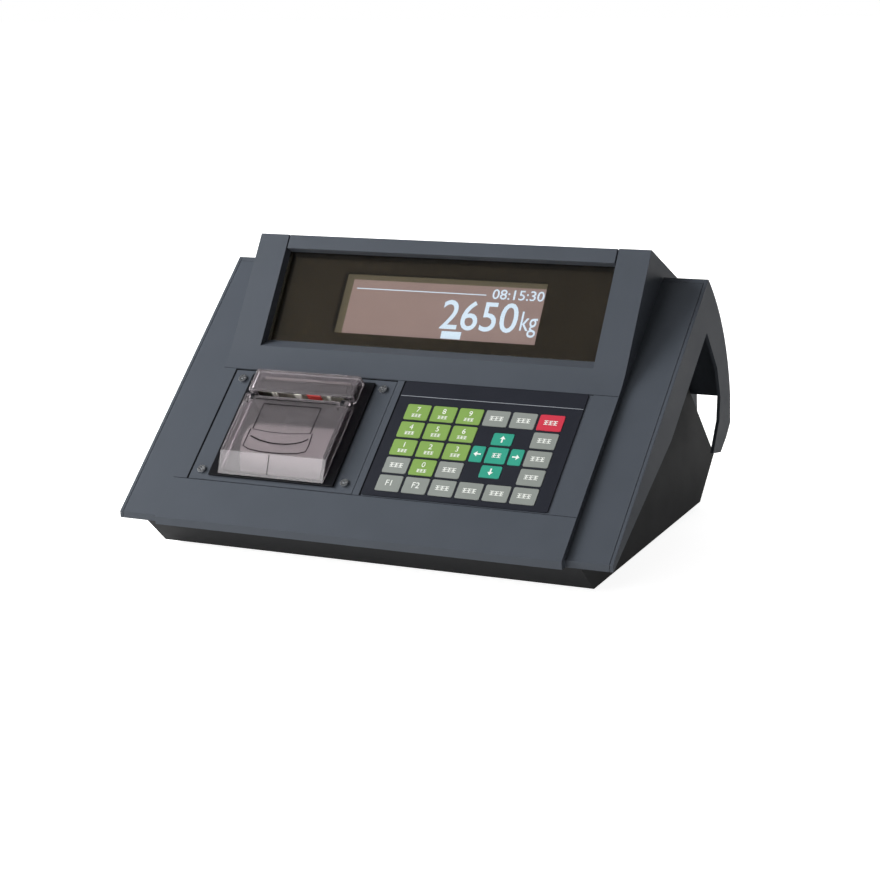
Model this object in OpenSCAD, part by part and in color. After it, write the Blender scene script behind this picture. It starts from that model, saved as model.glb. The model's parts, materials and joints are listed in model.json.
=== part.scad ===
// Desktop weighing indicator with a sloping keyboard deck, a display hood,
// a panel printer, two side wings with grab bars and a rear socket panel.
// All lengths are millimetres. Y runs from the front lip to the back, Z is up,
// and the origin is the middle of the footprint box, on the table.

/* [Case] */
// Width of each side wing beside the centre body
wing_w = 27.2; // [24:0.1:36]
// Step of the base tray past the centre body on each side
tray_step = 8.8; // [6:0.1:10]
// Slope of the keyboard deck in degrees
deck_slope = 38.85; // [38:0.05:40]
// Slope of the hood's display face in degrees
hood_slope = 54.5; // [53:0.5:56]
// Height of the deck's front edge above the tray's underside
lip_z = 20.6; // [19:0.1:23]
// Length of the side wings along the slope
wing_len = 192; // [186:1:198]
// Wall of the moulded cases
shell_t = 3; // [2.4:0.1:3.4]
// Height of the centre body's deck above the wings
rise = 3.3; // [2.6:0.1:4]
// How far the centre body runs past the wings' front edge
overrun = 3; // [1:0.5:5]
// Height of the rubber feet under the tray
foot_rise = 3; // [2:0.5:5]

/* [Hood] */
// Strip of deck between the insert panel and the bend
bend_gap = 9.4; // [8:0.1:12]
// Radius of the hollow blend at the bend
bend_r = 72; // [50:1:90]
// Length of the display face
hood_face = 80; // [78:0.5:84]
// Fall of the roof behind the face in degrees
roof_slope = 31.5; // [29:0.5:34]
// Distance of the rear wall behind the wings' rear edge
rear_gap = 50.47; // [48:0.01:53]
// Frame of the face on each side of the display window
recess_side = 19.6; // [17:0.2:22]
// Depth of the window below the face
window_depth = 6; // [4.5:0.5:7]
// Thickness of the tinted window
window_t = 2.5; // [2:0.1:3]
// Height of the cap above the window
visor_h = 9; // [7:0.5:11]
// Window on each side of the display's viewing area
view_side = 40.7; // [38:0.1:44]
// Window below the display's viewing area
view_low = 8.3; // [7:0.1:10]
// Window above the display's viewing area
view_high = 15.2; // [13:0.1:18]

/* [Base tray] */
// Wall and floor of the tray
tray_t = 2.5; // [2:0.1:3]
// Start of the flat underside, behind the deck's front edge
floor_start = 16.7; // [14:0.1:20]
// How far the tray's rear edge stands behind the rear wall
tail_out = 3.3; // [2.5:0.1:6]
// Run of the rising underside in front of the rear edge
tail_run = 24.9; // [22:0.1:28]
// Height of the tray's rear edge
tail_z = 22.6; // [21:0.1:24]
// Lean of the tray's rear edges in degrees
tail_lean = 51.7; // [50:0.1:54]

/* [Side frames] */
// Thickness of the skirt under each wing's edge
skirt_t = 2; // [1.5:0.1:2.5]
// Depth of the skirt below the wing, at its full part
skirt_h = 20.5; // [18:0.5:22]
// Drop of the curved grab bar behind the wing
bar_drop = 75.4; // [72:0.2:78]
// Reach of the curved grab bar behind the wing
bar_reach = 32.9; // [31:0.1:34]
// Radius of the grab bar's back
bar_r = 123; // [115:1:130]
// Width of the grab bar seen from the side
bar_w = 18; // [16:0.5:19]
// Thickness of the grab bar's curved back wall
bar_t = 3; // [2.4:0.1:3.4]

/* [Insert panel] */
// Front edge of the insert panel along the deck
insert_u = 25; // [24:0.1:27]
// Length of the insert panel along the deck
insert_len = 79.6; // [79:0.1:80.4]
// Strip of the centre body left of the printer plate
edge_left = 10.2; // [9:0.1:12]
// Strip between the printer plate and the keypad sheet
panel_gap = 5.9; // [5:0.1:7]
// Strip of the centre body right of the keypad sheet
edge_right = 17.3; // [16:0.1:19]
// Plate on each side of the printer's rim
plate_side = 12.6; // [12:0.1:13.5]
// Gap between plate and insert panel at the rear
plate_gap = 1; // [0.4:0.1:1.6]
// Thickness of the printer face plate
plate_t = 1.5; // [1:0.1:1.8]
// Place of the plate's screws in from its side edges
screw_edge_x = 6.6; // [5.5:0.1:7]
// Place of the plate's screws in from its front and rear edges
screw_edge_u = 6.35; // [5.5:0.05:7]
// Shank diameter of the plate's screws
screw_d = 3; // [2.5:0.1:3.4]

/* [Printer] */
// Width of the paper roll
roll_w = 57; // [50:0.5:57.5]
// Radius of the paper roll
roll_r = 18; // [15:0.5:19]
// How far the roll stands above the deck
roll_show = 1; // [0:0.1:1.5]
// Radius of the roll's spindle
spindle_r = 6; // [4:0.5:8]
// Room of the clear cover on each side of the roll
cover_side = 6.15; // [5.5:0.05:7]
// Rim on each side of the clear cover
rim_side = 6.35; // [5.5:0.05:7]
// Plate in front of the printer's rim, and behind it
rim_end = 2.9; // [2.4:0.1:3.4]
// Height of the rim above the plate
rim_h = 1.5; // [1:0.1:2]
// Height of the covers above the deck
cover_h = 8.5; // [8:0.1:10]
// Wall of the clear covers
cover_t = 1.6; // [1.4:0.1:2]
// Radius of the rubber feed roller
platen_r = 3.5; // [3:0.1:3.6]
// Radius of the hinge stubs and of the roller's shaft
stub_r = 1.2; // [1:0.1:1.4]

/* [Keypad] */
// Strip of insert panel in front of the keypad sheet
sheet_front = 0.6; // [0.4:0.1:1]
// Strip of insert panel behind the keypad sheet
sheet_back = 0.4; // [0.4:0.1:1]
// Sheet left of the first key column
key_left_gap = 7.2; // [6.5:0.1:7.5]
// Sheet right of the last key column
key_right_gap = 8.6; // [8:0.1:9.5]
// Sheet in front of the first key row
key_front_gap = 3.3; // [3:0.1:3.6]
// Thickness of the keypad sheet
sheet_t = 0.6; // [0.4:0.1:0.8]
// Pitch of the key columns
pitch_x = 16.4; // [16:0.1:16.5]
// Pitch of the key rows
pitch_u = 12.2; // [11.8:0.1:12.3]
// Gap between printed keys
key_gap = 1.2; // [1:0.1:1.6]
// Travel of a key
key_travel = 0.4; // [0.3:0.05:0.5]

/* [Rear] */
// Centre body beside the socket panel's opening, on each side
port_side = 20.8; // [18:0.2:24]
// Lower edge of the socket panel's opening
port_z0 = 34; // [30:1:38]
// Rear wall above the socket panel's opening
port_top = 19; // [15:0.5:26]

/* [Clearances] */
// Visible seam between fixed pieces
seam = 0.3; // [0.2:0.05:0.4]
// Gap round each key pad
key_slack = 0.15; // [0.1:0.01:0.2]
// Gap between a shaft and its bore
run_fit = 0.05; // [0.03:0.01:0.08]
// Gap beside moving pieces
side_play = 0.3; // [0.25:0.05:0.4]

/* [Hidden] */
$fn = 48;

// Widths that follow from the printer and the keypad
key_rows = 5;
key_cols = 6;
pads_w = key_cols * pitch_x - key_gap;
pads_len = key_rows * pitch_u - key_gap;
cover_w = roll_w + 2 * cover_side;
rim_w = cover_w + 2 * rim_side;
plate_w = rim_w + 2 * plate_side;
sheet_w = key_left_gap + pads_w + key_right_gap;
body_w = edge_left + plate_w + panel_gap + sheet_w + edge_right;
overall_w = body_w + 2 * wing_w;
base_w = body_w + 2 * tray_step;
recess_half = body_w / 2 - recess_side;
view_w = 2 * (recess_half - view_side);
port_w = body_w - 2 * port_side;

// Lengths along the deck that follow from the insert panel
bend_u = insert_u + insert_len + bend_gap;
plate_len = insert_len - seam - plate_gap;
rim_len = plate_len - 2 * rim_end;
sheet_len = insert_len - sheet_front - sheet_back;

// Overruns of cuts: past one wall, and past the whole case
over = 1;
far = 2 * overall_w;
// Angle of an upright line in the side view
upright = 90;

// Colours of the plain model
slate = [0.33, 0.35, 0.38];
slate_dark = [0.16, 0.17, 0.19];
smoke = [0.45, 0.42, 0.44, 0.6];
steel = [0.78, 0.79, 0.8];
board_green = [0.1, 0.36, 0.24];
black = [0.06, 0.06, 0.07];
key_green = [0.5, 0.64, 0.36];
key_grey = [0.52, 0.54, 0.53];
key_teal = [0.18, 0.55, 0.46];
key_red = [0.76, 0.22, 0.28];

// Unit direction at an angle, and the direction a quarter turn to its left
function ray(a) = [cos(a), sin(a)];
function ray_left(a) = [-sin(a), cos(a)];
function cross2(p, q) = p.x * q.y - p.y * q.x;
// Crossing of the line through p at angle a with the line through q at angle b
function crossing(p, a, q, b) = p + ray(a) * cross2(q - p, ray(b)) / cross2(ray(a), ray(b));
// Points of an arc round a centre
function arc(c, r, a0, a1, steps) = [for (i = [0 : steps]) c + r * ray(a0 + (a1 - a0) * i / steps)];

// Side view points, as [y, z], from places along and above the deck or the face
function deck_point(u, n) = [0, lip_z] + u * ray(deck_slope) + n * ray_left(deck_slope);
bend = deck_point(bend_u, rise);
function face_point(v, w) = bend + v * ray(hood_slope) + w * ray_left(hood_slope);
hood_top = face_point(hood_face, 0);

// Ends of the whole case in y, and the middle of its footprint
rear_y = deck_point(wing_len, 0).x + rear_gap;
tail_y = rear_y + tail_out;
floor_end = tail_y - tail_run;
front_y = deck_point(-overrun, rise).x;
mid_y = (front_y + tail_y) / 2;
lip_bottom = lip_z - shell_t / cos(deck_slope);

// Side view of the centre body's skin, at a depth below its surface
blend_len = bend_r * tan((hood_slope - deck_slope) / 2);
blend_steps = 6;
shell_foot_z = tail_z + shell_t / 2;
function skin_line(d) = concat(
    [[front_y + d, lip_bottom]],
    [crossing([front_y + d, 0], upright, deck_point(0, rise - d), deck_slope)],
    arc(deck_point(bend_u - blend_len, rise + bend_r), bend_r + d,
        deck_slope - upright, hood_slope - upright, blend_steps),
    [crossing(face_point(0, -d), hood_slope, hood_top - d * ray_left(-roof_slope), -roof_slope)],
    [crossing(hood_top - d * ray_left(-roof_slope), -roof_slope, [rear_y - d, 0], upright)],
    [[rear_y - d, shell_foot_z]]);

// Where the side walls of the centre body reach down behind the wings
flank_y = bar_start().x - shell_t - bar_w;
rib_h = 5;
rib_u = 14;
// Top rear corner of the wings, where the grab bar starts
function bar_start() = deck_point(wing_len, 0);
bar_end = bar_start() + [bar_reach, -bar_drop];

// The frame of the case, of the deck and of the display face
module in_body() translate([0, -mid_y, foot_rise]) children();
module on_deck() in_body() translate([0, 0, lip_z]) rotate([deck_slope, 0, 0]) children();
module on_face() in_body() translate([0, bend.x, bend.y]) rotate([hood_slope, 0, 0]) children();
// A side view outline run across the case, about the middle
module across(w) rotate([90, 0, 90]) linear_extrude(height = w, center = true) children();
// The same, from x0 to x1
module across_from(x0, x1) translate([(x0 + x1) / 2, 0, 0]) across(x1 - x0) children();
module both_sides() {
    children();
    mirror([1, 0, 0]) children();
}
// A box between two corners
module block(p, q) translate(p) cube(q - p);
// A round rod along x
module rod_x(r, x0, x1, u, n) translate([x0, u, n]) rotate([0, 90, 0]) cylinder(r = r, h = x1 - x0);
// A plate with round corners, from n0 up to n1
module round_plate(x0, u0, w, len, r, n0, n1) {
    translate([x0, u0, n0]) linear_extrude(height = n1 - n0) {
        union() {
            translate([r, 0]) square([w - 2 * r, len]);
            translate([0, r]) square([w, len - 2 * r]);
            for (i = [0, 1], j = [0, 1])
                translate([r + i * (w - 2 * r), r + j * (len - 2 * r)]) circle(r = r);
        }
    }
}

// Centre body: outer outline of its skin and of its flanks
flank_outline = concat(skin_line(0), [
    [flank_y, shell_foot_z],
    crossing([flank_y, 0], upright, deck_point(0, -shell_t - rib_h), deck_slope),
    deck_point(rib_u, -shell_t - rib_h),
    deck_point(rib_u, -shell_t),
    [0, lip_bottom]]);
hollow_outline = concat(
    [[front_y + shell_t, 0]],
    [for (i = [1 : len(skin_line(0)) - 2]) skin_line(shell_t)[i]],
    [[rear_y - shell_t, 0]]);
wing_end_u = wing_len - bar_t - seam;
wing_outline = [[0, lip_bottom], [0, lip_z], deck_point(wing_end_u, 0), deck_point(wing_end_u, -shell_t)];
wing_edge = overall_w / 2 - skirt_t - seam;

// Recess of the display window in the face, as [v, w]
sill_v = 7.5;
sill_len = 6;
window_v0 = sill_v + sill_len;
window_v1 = hood_face - visor_h + window_t * 2;
pocket_w = window_depth + window_t + seam / 2;
tub_t = 2.5;
tub_top = crossing([hood_face, 0], hood_top_angle(), [0, -pocket_w - tub_t], 0);
// Direction of the roof as seen in the face's own frame
function hood_top_angle() = -roof_slope - hood_slope;
view_h = window_v1 - view_high - window_v0 - view_low;
view_v = window_v0 + view_low + view_h / 2;
mask_margin = 4;
recess_outline = [
    [sill_v - over * sill_len / window_depth, over],
    [window_v0, -window_depth],
    [window_v0, -pocket_w],
    [hood_face + visor_h, -pocket_w],
    [hood_face + visor_h, over]];
tub_outline = [
    [sill_v - tub_t, -tub_t / 2],
    [hood_face - tub_t, -tub_t / 2],
    [tub_top.x - tub_t, -pocket_w - tub_t],
    [sill_v - tub_t, -pocket_w - tub_t]];

// Display module behind the window
lcd_frame_margin_x = 14;
lcd_frame_margin_v = 9;
lcd_frame_t = 3;
lcd_pcb_t = 1.6;
lcd_pcb_margin = 8;
lcd_boss_r = 2.5;
lcd_back_w = -pocket_w - tub_t;

// Upper edge of the socket panel's opening, and the panel's overlap round it
roof_z = crossing(hood_top, -roof_slope, [rear_y, 0], upright).y;
port_z1 = roof_z - port_top;
port_frame = 6;

// Ledges under the insert panel
ledge_t = 2.5;
ledge_len = 3;
insert_end = insert_u + insert_len;

module top_shell() color(slate) {
    difference() {
        union() {
            in_body() difference() {
                across(body_w) polygon(flank_outline);
                across(body_w - 2 * shell_t) polygon(hollow_outline);
            }
            in_body() both_sides() across_from(body_w / 2 - shell_t / 2, wing_edge) polygon(wing_outline);
            on_face() across(2 * (recess_half + tub_t)) polygon(tub_outline);
            on_face() for (i = [-1, 1], j = [-1, 1])
                translate([i * lcd_boss_x, view_v + j * lcd_boss_v, lcd_back_w - lcd_frame_t])
                    cylinder(r = lcd_boss_r, h = lcd_frame_t + tub_t / 2);
            in_body() for (p = case_screw_spots)
                translate([p.x, p.y, post_h + tray_t / 2 + seam]) cylinder(r = case_post_r, h = case_post_h);
            on_deck() for (u = [insert_u - ledge_len, insert_end - ledge_len])
                block([-body_w / 2 + shell_t * 2 / 3, u, rise - shell_t - ledge_t],
                    [body_w / 2 - shell_t * 2 / 3, u + 2 * ledge_len, rise - shell_t / 2]);
        }
        on_deck() block([-body_w / 2 - over, insert_u - seam, rise - shell_t - run_fit],
            [body_w / 2 + over, insert_end + seam, rise + over]);
        on_face() across(2 * recess_half) polygon(recess_outline);
        on_face() block(
            [-view_w / 2 - mask_margin, view_v - view_h / 2 - mask_margin, -pocket_w - tub_t - over],
            [view_w / 2 + mask_margin, view_v + view_h / 2 + mask_margin, over - window_depth]);
        in_body() for (p = case_screw_spots)
            translate([p.x, p.y, 0]) cylinder(r = case_screw_r, h = screw_top_z + over);
        in_body() block([-port_w / 2, rear_y - shell_t - over, port_z0],
            [port_w / 2, rear_y + over, port_z1]);
    }
}
case_post_r = 4.5;
case_post_h = 30;
lcd_boss_x = view_w / 2 + lcd_frame_margin_x + lcd_boss_r + seam;
lcd_boss_v = view_h / 2 + lcd_frame_margin_v - lcd_boss_r;

// Outline of the tray seen from the side, at a depth below its surface
front_angle = atan2(lip_bottom + seam, -floor_start);
tail_angle = atan2(tail_z, tail_run);
function tray_front(d) = [floor_start, 0] - d * ray_left(front_angle);
function tail_under(d) = [tail_y, tail_z] + d * ray_left(tail_angle);
function tail_over(d) = [tail_y, tail_z] - d * ray_left(-tail_lean);
deck_under = deck_point(0, -shell_t);
function tray_line(d) = [
    crossing(deck_under, deck_slope, tray_front(d), front_angle),
    crossing(tray_front(d), front_angle, [0, d], 0),
    crossing([0, d], 0, tail_under(d), tail_angle),
    crossing(tail_under(d), tail_angle, tail_over(d), -tail_lean),
    crossing(tail_over(d), -tail_lean, deck_under, deck_slope)];
step_y = 2 * floor_start;
step_z = shell_foot_z - seam / 3;
post_r = 3.5;
post_h = 8;
pilot_r = 1.25;
pcb_t = 1.6;
foot_r = 9;
foot_inset_x = 32;
foot_inset_y = 22;
foot_seat = 1;
case_screw_r = 2;
case_head_r = 3.6;
board_side = 23.6;
board_w = 124;
board_len = 106;
board_behind = 32;
board_x1 = base_w / 2 - board_side;
board_x0 = board_x1 - board_w;
board_y1 = rear_y - board_behind;
board_y0 = board_y1 - board_len;
post_inset = 6;

module tray_posts() {
    for (x = [board_x0 + post_inset, board_x1 - post_inset])
        for (y = [board_y0 + post_inset, board_y1 - post_inset])
            translate([x, y, tray_t / 2]) children();
}
// Places of the feet, as [x, y] in the case's frame
foot_spots = [for (i = [-1, 1], y = [floor_start + foot_inset_y, floor_end - foot_inset_y])
    [i * (base_w / 2 - foot_inset_x), y]];
// Places of the screws under the tray
screw_inset = 14;
case_screw_spots = [for (i = [-1, 1], y = [floor_start + screw_inset, floor_end - screw_inset])
    [i * (base_w / 2 - screw_inset), y]];

module base_tray() color(slate_dark) in_body() difference() {
    union() {
        difference() {
            across(base_w) polygon(tray_line(0));
            across(base_w - 2 * tray_t) polygon(concat(tray_line(tray_t), [[0, far]]));
            across(body_w + 2 * seam) polygon([[step_y, step_z], [far, step_z], [far, far], [step_y, far]]);
        }
        tray_posts() cylinder(r = post_r, h = post_h - tray_t / 2);
        for (p = case_screw_spots)
            translate([p.x, p.y, tray_t / 2]) cylinder(r = case_head_r + tray_t, h = post_h - tray_t / 2);
    }
    tray_posts() translate([0, 0, tray_t]) cylinder(r = pilot_r, h = post_h);
    for (p = foot_spots) translate([p.x, p.y, -over]) cylinder(r = foot_r + seam, h = foot_seat + over);
    for (p = case_screw_spots) translate([p.x, p.y, -over]) {
        cylinder(r = case_screw_r + run_fit, h = post_h + 2 * over);
        cylinder(r = case_head_r + seam, h = tray_t + over);
    }
}

// Centre of the arc through two points, with the arc bulging to the right of the way there
function arc_centre(p, q, r) = let(m = (p + q) / 2, h = (q - p) / 2, k = sqrt(r * r - h * h) / norm(h))
    m - k * [h.y, -h.x];
function heading(p) = atan2(p.y, p.x);
bar_centre = arc_centre(bar_end, bar_start(), bar_r);
bar_steps = 14;
function bar_arc(d) = arc(bar_centre, bar_r - d,
    heading(bar_start() - bar_centre), heading(bar_end - bar_centre), bar_steps);
// Lower tip and inner edge of the bar, as shares of its width from the arc's lower end
bar_tip_shares = [
    [-0.04, -0.9],
    [-0.44, -1.29],
    [-0.98, -1.65],
    [-1.68, -1.5],
    [-1.07, -0.56],
    [-0.94, 0.2],
    [-1.18, 1.18]];
skirt_full_share = 0.495;
skirt_full_u = wing_len * skirt_full_share;
notch_u = wing_len - skirt_h - shell_t / 2;
skirt_outline = concat(
    [[0, lip_z]],
    bar_arc(0),
    [for (s = bar_tip_shares) bar_end + bar_w * s],
    [deck_point(notch_u, -skirt_h), deck_point(skirt_full_u, -skirt_h), [0, lip_bottom]]);
bar_outline = concat(bar_arc(0), [for (i = [bar_steps : -1 : 0]) bar_arc(bar_t)[i]]);
bar_floor_z = tail_z + (tail_y - bar_end.x + bar_w / 3) * tan(tail_lean);

module side_frame() in_body() {
    across_from(overall_w / 2 - skirt_t, overall_w / 2) polygon(skirt_outline);
    intersection() {
        across_from(body_w / 2 + seam, overall_w / 2 - skirt_t / 2) polygon(bar_outline);
        union() {
            block([0, 0, bar_floor_z], [far, far, far]);
            block([base_w / 2 + seam, 0, 0], [far, far, far]);
        }
    }
}
module side_frame_right() color(slate) side_frame();
module side_frame_left() color(slate) mirror([1, 0, 0]) side_frame();

// Cap above the window, as [v, w]
visor_gap = 0.7;
visor_outline = [
    [hood_face - visor_h, -window_depth + seam / 2],
    [hood_face - visor_h, 0],
    [hood_face, 0],
    crossing([hood_face, 0], hood_top_angle(), [0, -pocket_w + seam / 2], 0),
    [window_v1 + seam, -pocket_w + seam / 2],
    [window_v1 + seam, -window_depth + seam / 2]];
module hood_visor() color(slate) on_face() across(2 * (recess_half - visor_gap)) polygon(visor_outline);
module display_window() color([0.2, 0.18, 0.14, 0.7]) on_face()
    block([-recess_half + seam / 2, window_v0 + seam / 2, -window_depth - window_t],
        [recess_half - seam / 2, window_v1, -window_depth]);
module lcd_frame_box(margin_x, margin_v, w0, w1)
    block([-view_w / 2 - margin_x, view_v - view_h / 2 - margin_v, w0],
        [view_w / 2 + margin_x, view_v + view_h / 2 + margin_v, w1]);
module lcd_bezel() color(black) on_face() difference() {
    lcd_frame_box(lcd_frame_margin_x, lcd_frame_margin_v, lcd_back_w - lcd_frame_t, lcd_back_w);
    lcd_frame_box(0, 0, lcd_back_w - lcd_frame_t - over, lcd_back_w + over);
}
module lcd_glass() color([0.56, 0.5, 0.48]) on_face()
    lcd_frame_box(-seam / 2, -seam / 2, lcd_back_w - lcd_frame_t, lcd_back_w - lcd_frame_t / 3);
module lcd_board() color(board_green) on_face() union() {
    lcd_frame_box(lcd_frame_margin_x + lcd_pcb_margin, lcd_frame_margin_v,
        lcd_back_w - lcd_frame_t - lcd_pcb_t, lcd_back_w - lcd_frame_t);
    for (i = [-1, 0, 1])
        translate([i * view_w / 4, view_v, lcd_back_w - lcd_frame_t - lcd_pcb_t])
            block([-view_h / 4, -view_h / 8, -lcd_pcb_t], [view_h / 4, view_h / 8, 0]);
}

// Places of the printer's plate and rim and of the keypad on the deck
printer_x = -body_w / 2 + edge_left + plate_w / 2;
plate_x = printer_x - plate_w / 2;
screw_gap_x = plate_w - 2 * screw_edge_x;
screw_gap_u = plate_len - 2 * screw_edge_u;
sheet_x = plate_x + plate_w + panel_gap;
sheet_u = insert_u + sheet_front;
plate_u = insert_u + seam;
mid_u = plate_u + plate_len / 2;
rim_u = mid_u - rim_len / 2;
rim_top = rise + rim_h;
roll_play = 3;
well_inner = roll_w / 2 + roll_play;
well_half = well_inner + tray_t;
well_inset = 1.5;
well_u0 = rim_u + well_inset;
well_u1 = rim_u + rim_len - well_inset;
panel_under = rise - shell_t;

// Screws of the printer plate
screw_head_r = 2.5;
screw_head_h = 1.2;
screw_len = 7;
slot_w = 0.7;
boss_wall = 1.7;
module screw_spots() for (i = [-1, 1], j = [-1, 1])
    translate([printer_x + i * screw_gap_x / 2, mid_u + j * screw_gap_u / 2, 0]) children();
module well_cut(n0, n1)
    block([printer_x - well_half - seam, well_u0 - seam, n0],
        [printer_x + well_half + seam, well_u1 + seam, n1]);
module screw_bores(n0, n1) screw_spots()
    translate([0, 0, n0]) cylinder(r = screw_d / 2 + run_fit, h = n1 - n0);

// Key pads: [name, column, row, width share, length share, offset shares, colour]
pads_x = sheet_x + key_left_gap;
pads_u = sheet_u + key_front_gap;
key_w = pitch_x - key_gap;
key_len = pitch_u - key_gap;
key_corner = 1.2;
key_emboss = 0.25;
dome_base = 0.7;
dome_r = 3.2;
dome_h = 0.7;
pocket_depth = 2.2;
pocket_margin = 0.6;
pocket_floor = rise - pocket_depth;
key_top = rise + sheet_t + key_emboss;
key_under = pocket_floor + dome_base + dome_h + key_travel + key_slack;

letters = "abcde";
function grid_key(col, row, tint) = [str("key_", letters[row], col + 1),
    pads_x + col * pitch_x, pads_u + row * pitch_u, key_w, key_len, tint];
// Arrow cluster across columns four and five: enter key, and two arrows each way
cluster_x = pads_x + 3 * pitch_x;
cluster_w = 2 * pitch_x - key_gap;
arrow_share = 0.26;
arrow_w = cluster_w * arrow_share;
arrow_len_share = 0.77;
arrow_len = key_len * arrow_len_share;
enter_w = cluster_w - 2 * (arrow_w + key_gap);
enter_x = cluster_x + arrow_w + key_gap;
enter_u = pads_u + 2 * pitch_u;
keys = concat(
    [for (col = [0 : key_cols - 1]) grid_key(col, 0, key_grey)],
    [for (col = [0 : 2]) grid_key(col, 1, col == 1 ? key_green : key_grey)],
    [for (col = [0 : 2], row = [2 : 4]) grid_key(col, row, key_green)],
    [for (row = [1 : 3]) grid_key(key_cols - 1, row, key_grey)],
    [grid_key(3, 4, key_grey), grid_key(4, 4, key_grey), grid_key(5, 4, key_red)],
    [["key_left", cluster_x, enter_u, arrow_w, key_len, key_teal],
     ["key_enter", enter_x, enter_u, enter_w, key_len, key_teal],
     ["key_right", enter_x + enter_w + key_gap, enter_u, arrow_w, key_len, key_teal],
     ["key_up", enter_x, enter_u + pitch_u, enter_w, arrow_len, key_teal],
     ["key_down", enter_x, enter_u - key_gap - arrow_len, enter_w, arrow_len, key_teal]]);

module key_pad(k) color(k[5]) on_deck()
    round_plate(k[1] + key_slack, k[2] + key_slack, k[3] - 2 * key_slack, k[4] - 2 * key_slack,
        key_corner - key_slack, key_under, key_top);
module key_holes(n0, n1) for (k = keys) round_plate(k[1], k[2], k[3], k[4], key_corner, n0, n1);
module key_field(margin, n0, n1)
    block([pads_x - margin, pads_u - margin, n0],
        [pads_x + pads_w + margin, pads_u + pads_len + margin, n1]);

module insert_panel() color(slate) on_deck() difference() {
    union() {
        block([-body_w / 2, insert_u, panel_under], [body_w / 2, insert_end, rise]);
        screw_spots() translate([0, 0, rise - screw_len])
            cylinder(r = screw_d / 2 + boss_wall, h = screw_len - plate_t);
    }
    block([plate_x - seam, plate_u - seam / 2, rise - plate_t],
        [plate_x + plate_w + seam, plate_u + plate_len + seam / 2, rise + over]);
    well_cut(-over, rise + over);
    screw_bores(rise - screw_len - over, rise);
    key_field(pocket_margin, pocket_floor, rise + over);
}
module keypad_overlay() color(slate_dark) on_deck() difference() {
    round_plate(sheet_x, sheet_u, sheet_w, sheet_len, key_corner, rise, rise + sheet_t);
    key_holes(rise - over, rise + sheet_t + over);
}
module dome_sheet() color([0.85, 0.85, 0.8]) on_deck() {
    key_field(pocket_margin - key_slack, pocket_floor, pocket_floor + dome_base);
    for (k = keys) translate([k[1] + k[3] / 2, k[2] + k[4] / 2, pocket_floor + dome_base - dome_h / 2])
        cylinder(r1 = dome_r, r2 = dome_r / 2, h = dome_h * 3 / 2);
}
module key_board() color(board_green) on_deck() {
    key_field(0, panel_under - pcb_t, panel_under);
    block([pads_x + pads_w / 3, pads_u + pads_len / 3, panel_under - pcb_t - key_gap * 2],
        [pads_x + pads_w / 2, pads_u + pads_len / 2, panel_under - pcb_t]);
}

module printer_plate() color(slate) on_deck() difference() {
    block([plate_x, plate_u, rise - plate_t], [plate_x + plate_w, plate_u + plate_len, rise]);
    well_cut(-over, rise + over);
    screw_bores(-over, rise + over);
}
module printer_screws() color(steel) on_deck() screw_spots() difference() {
    union() {
        translate([0, 0, rise]) cylinder(r = screw_head_r, h = screw_head_h);
        translate([0, 0, rise - screw_len]) cylinder(r = screw_d / 2, h = screw_len + screw_head_h / 2);
    }
    for (a = [0, 90]) rotate(a)
        block([-screw_head_r * 2 / 3, -slot_w / 2, rise + screw_head_h / 3],
            [screw_head_r * 2 / 3, slot_w / 2, rise + 2 * screw_head_h]);
}

// Printer: places of hinge, roll and feed roller, along and above the deck
cover_top = rise + cover_h;
hinge_r = 2.6;
hinge_n = cover_top - hinge_r;
hinge_back = 20;
hinge_u = rim_u + rim_len - hinge_back;
cover_gap = 1.2;
cover_u0 = hinge_u + hinge_r + cover_gap;
cover_u1 = rim_u + rim_len - side_play * 3;
roll_u_share = 0.39;
roll_u = rim_u + rim_len * roll_u_share;
roll_n = rise + roll_show - roll_r;
bucket_floor = roll_n - roll_r - 2 * side_play - tray_t;
platen_u = cover_u0 + cover_t + platen_r + well_inset;
platen_n = cover_top - cover_t - side_play - platen_r;
ear_t = 2.4;
cheek_x = roll_w / 2 + side_play / 2;
post_x = cheek_x + ear_t;
post_depth = 9;

module at_printer() on_deck() translate([printer_x, 0, 0]) children();
// A pillar that stands up from the bucket's wall and ends round about a pin's axis
module pillar(u, n, r) {
    block([cheek_x, u - r, -post_depth], [well_inner + tray_t / 2, u + r, rim_top]);
    block([cheek_x, u - r, -post_depth], [post_x, u + r, n]);
    rod_x(r, cheek_x, post_x, u, n);
}
module printer_bucket() color(slate_dark) at_printer() difference() {
    union() {
        difference() {
            union() {
                block([-well_half, well_u0, bucket_floor],
                    [well_half, well_u1, rise + rim_h / 2]);
                block([-rim_w / 2, rim_u, rise], [rim_w / 2, rim_u + rim_len, rim_top]);
            }
            block([-well_inner, well_u0 + tray_t, bucket_floor + tray_t],
                [well_inner, well_u1 - tray_t, rim_top + over]);
        }
        both_sides() {
            pillar(hinge_u, hinge_n, hinge_r);
            pillar(platen_u, platen_n, platen_r - side_play);
            rod_x(stub_r, post_x - ear_t / 2, cover_w / 2 - side_play, hinge_u, hinge_n);
        }
    }
    rod_x(stub_r + run_fit, -well_inner, well_inner, platen_u, platen_n);
    rod_x(stub_r * 2, -well_inner - tray_t / 2, well_inner + tray_t / 2, roll_u, roll_n);
}
module paper_spindle() color(black) at_printer() union() {
    rod_x(spindle_r, -well_inner, well_inner, roll_u, roll_n);
    rod_x(stub_r * 2, -well_inner - tray_t / 2, well_inner + tray_t / 2, roll_u, roll_n);
}
module paper_roll() color("white") at_printer() difference() {
    rod_x(roll_r, -roll_w / 2, roll_w / 2, roll_u, roll_n);
    rod_x(spindle_r + run_fit, -roll_w, roll_w, roll_u, roll_n);
}
platen_w = roll_w - 2 * side_play;
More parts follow.
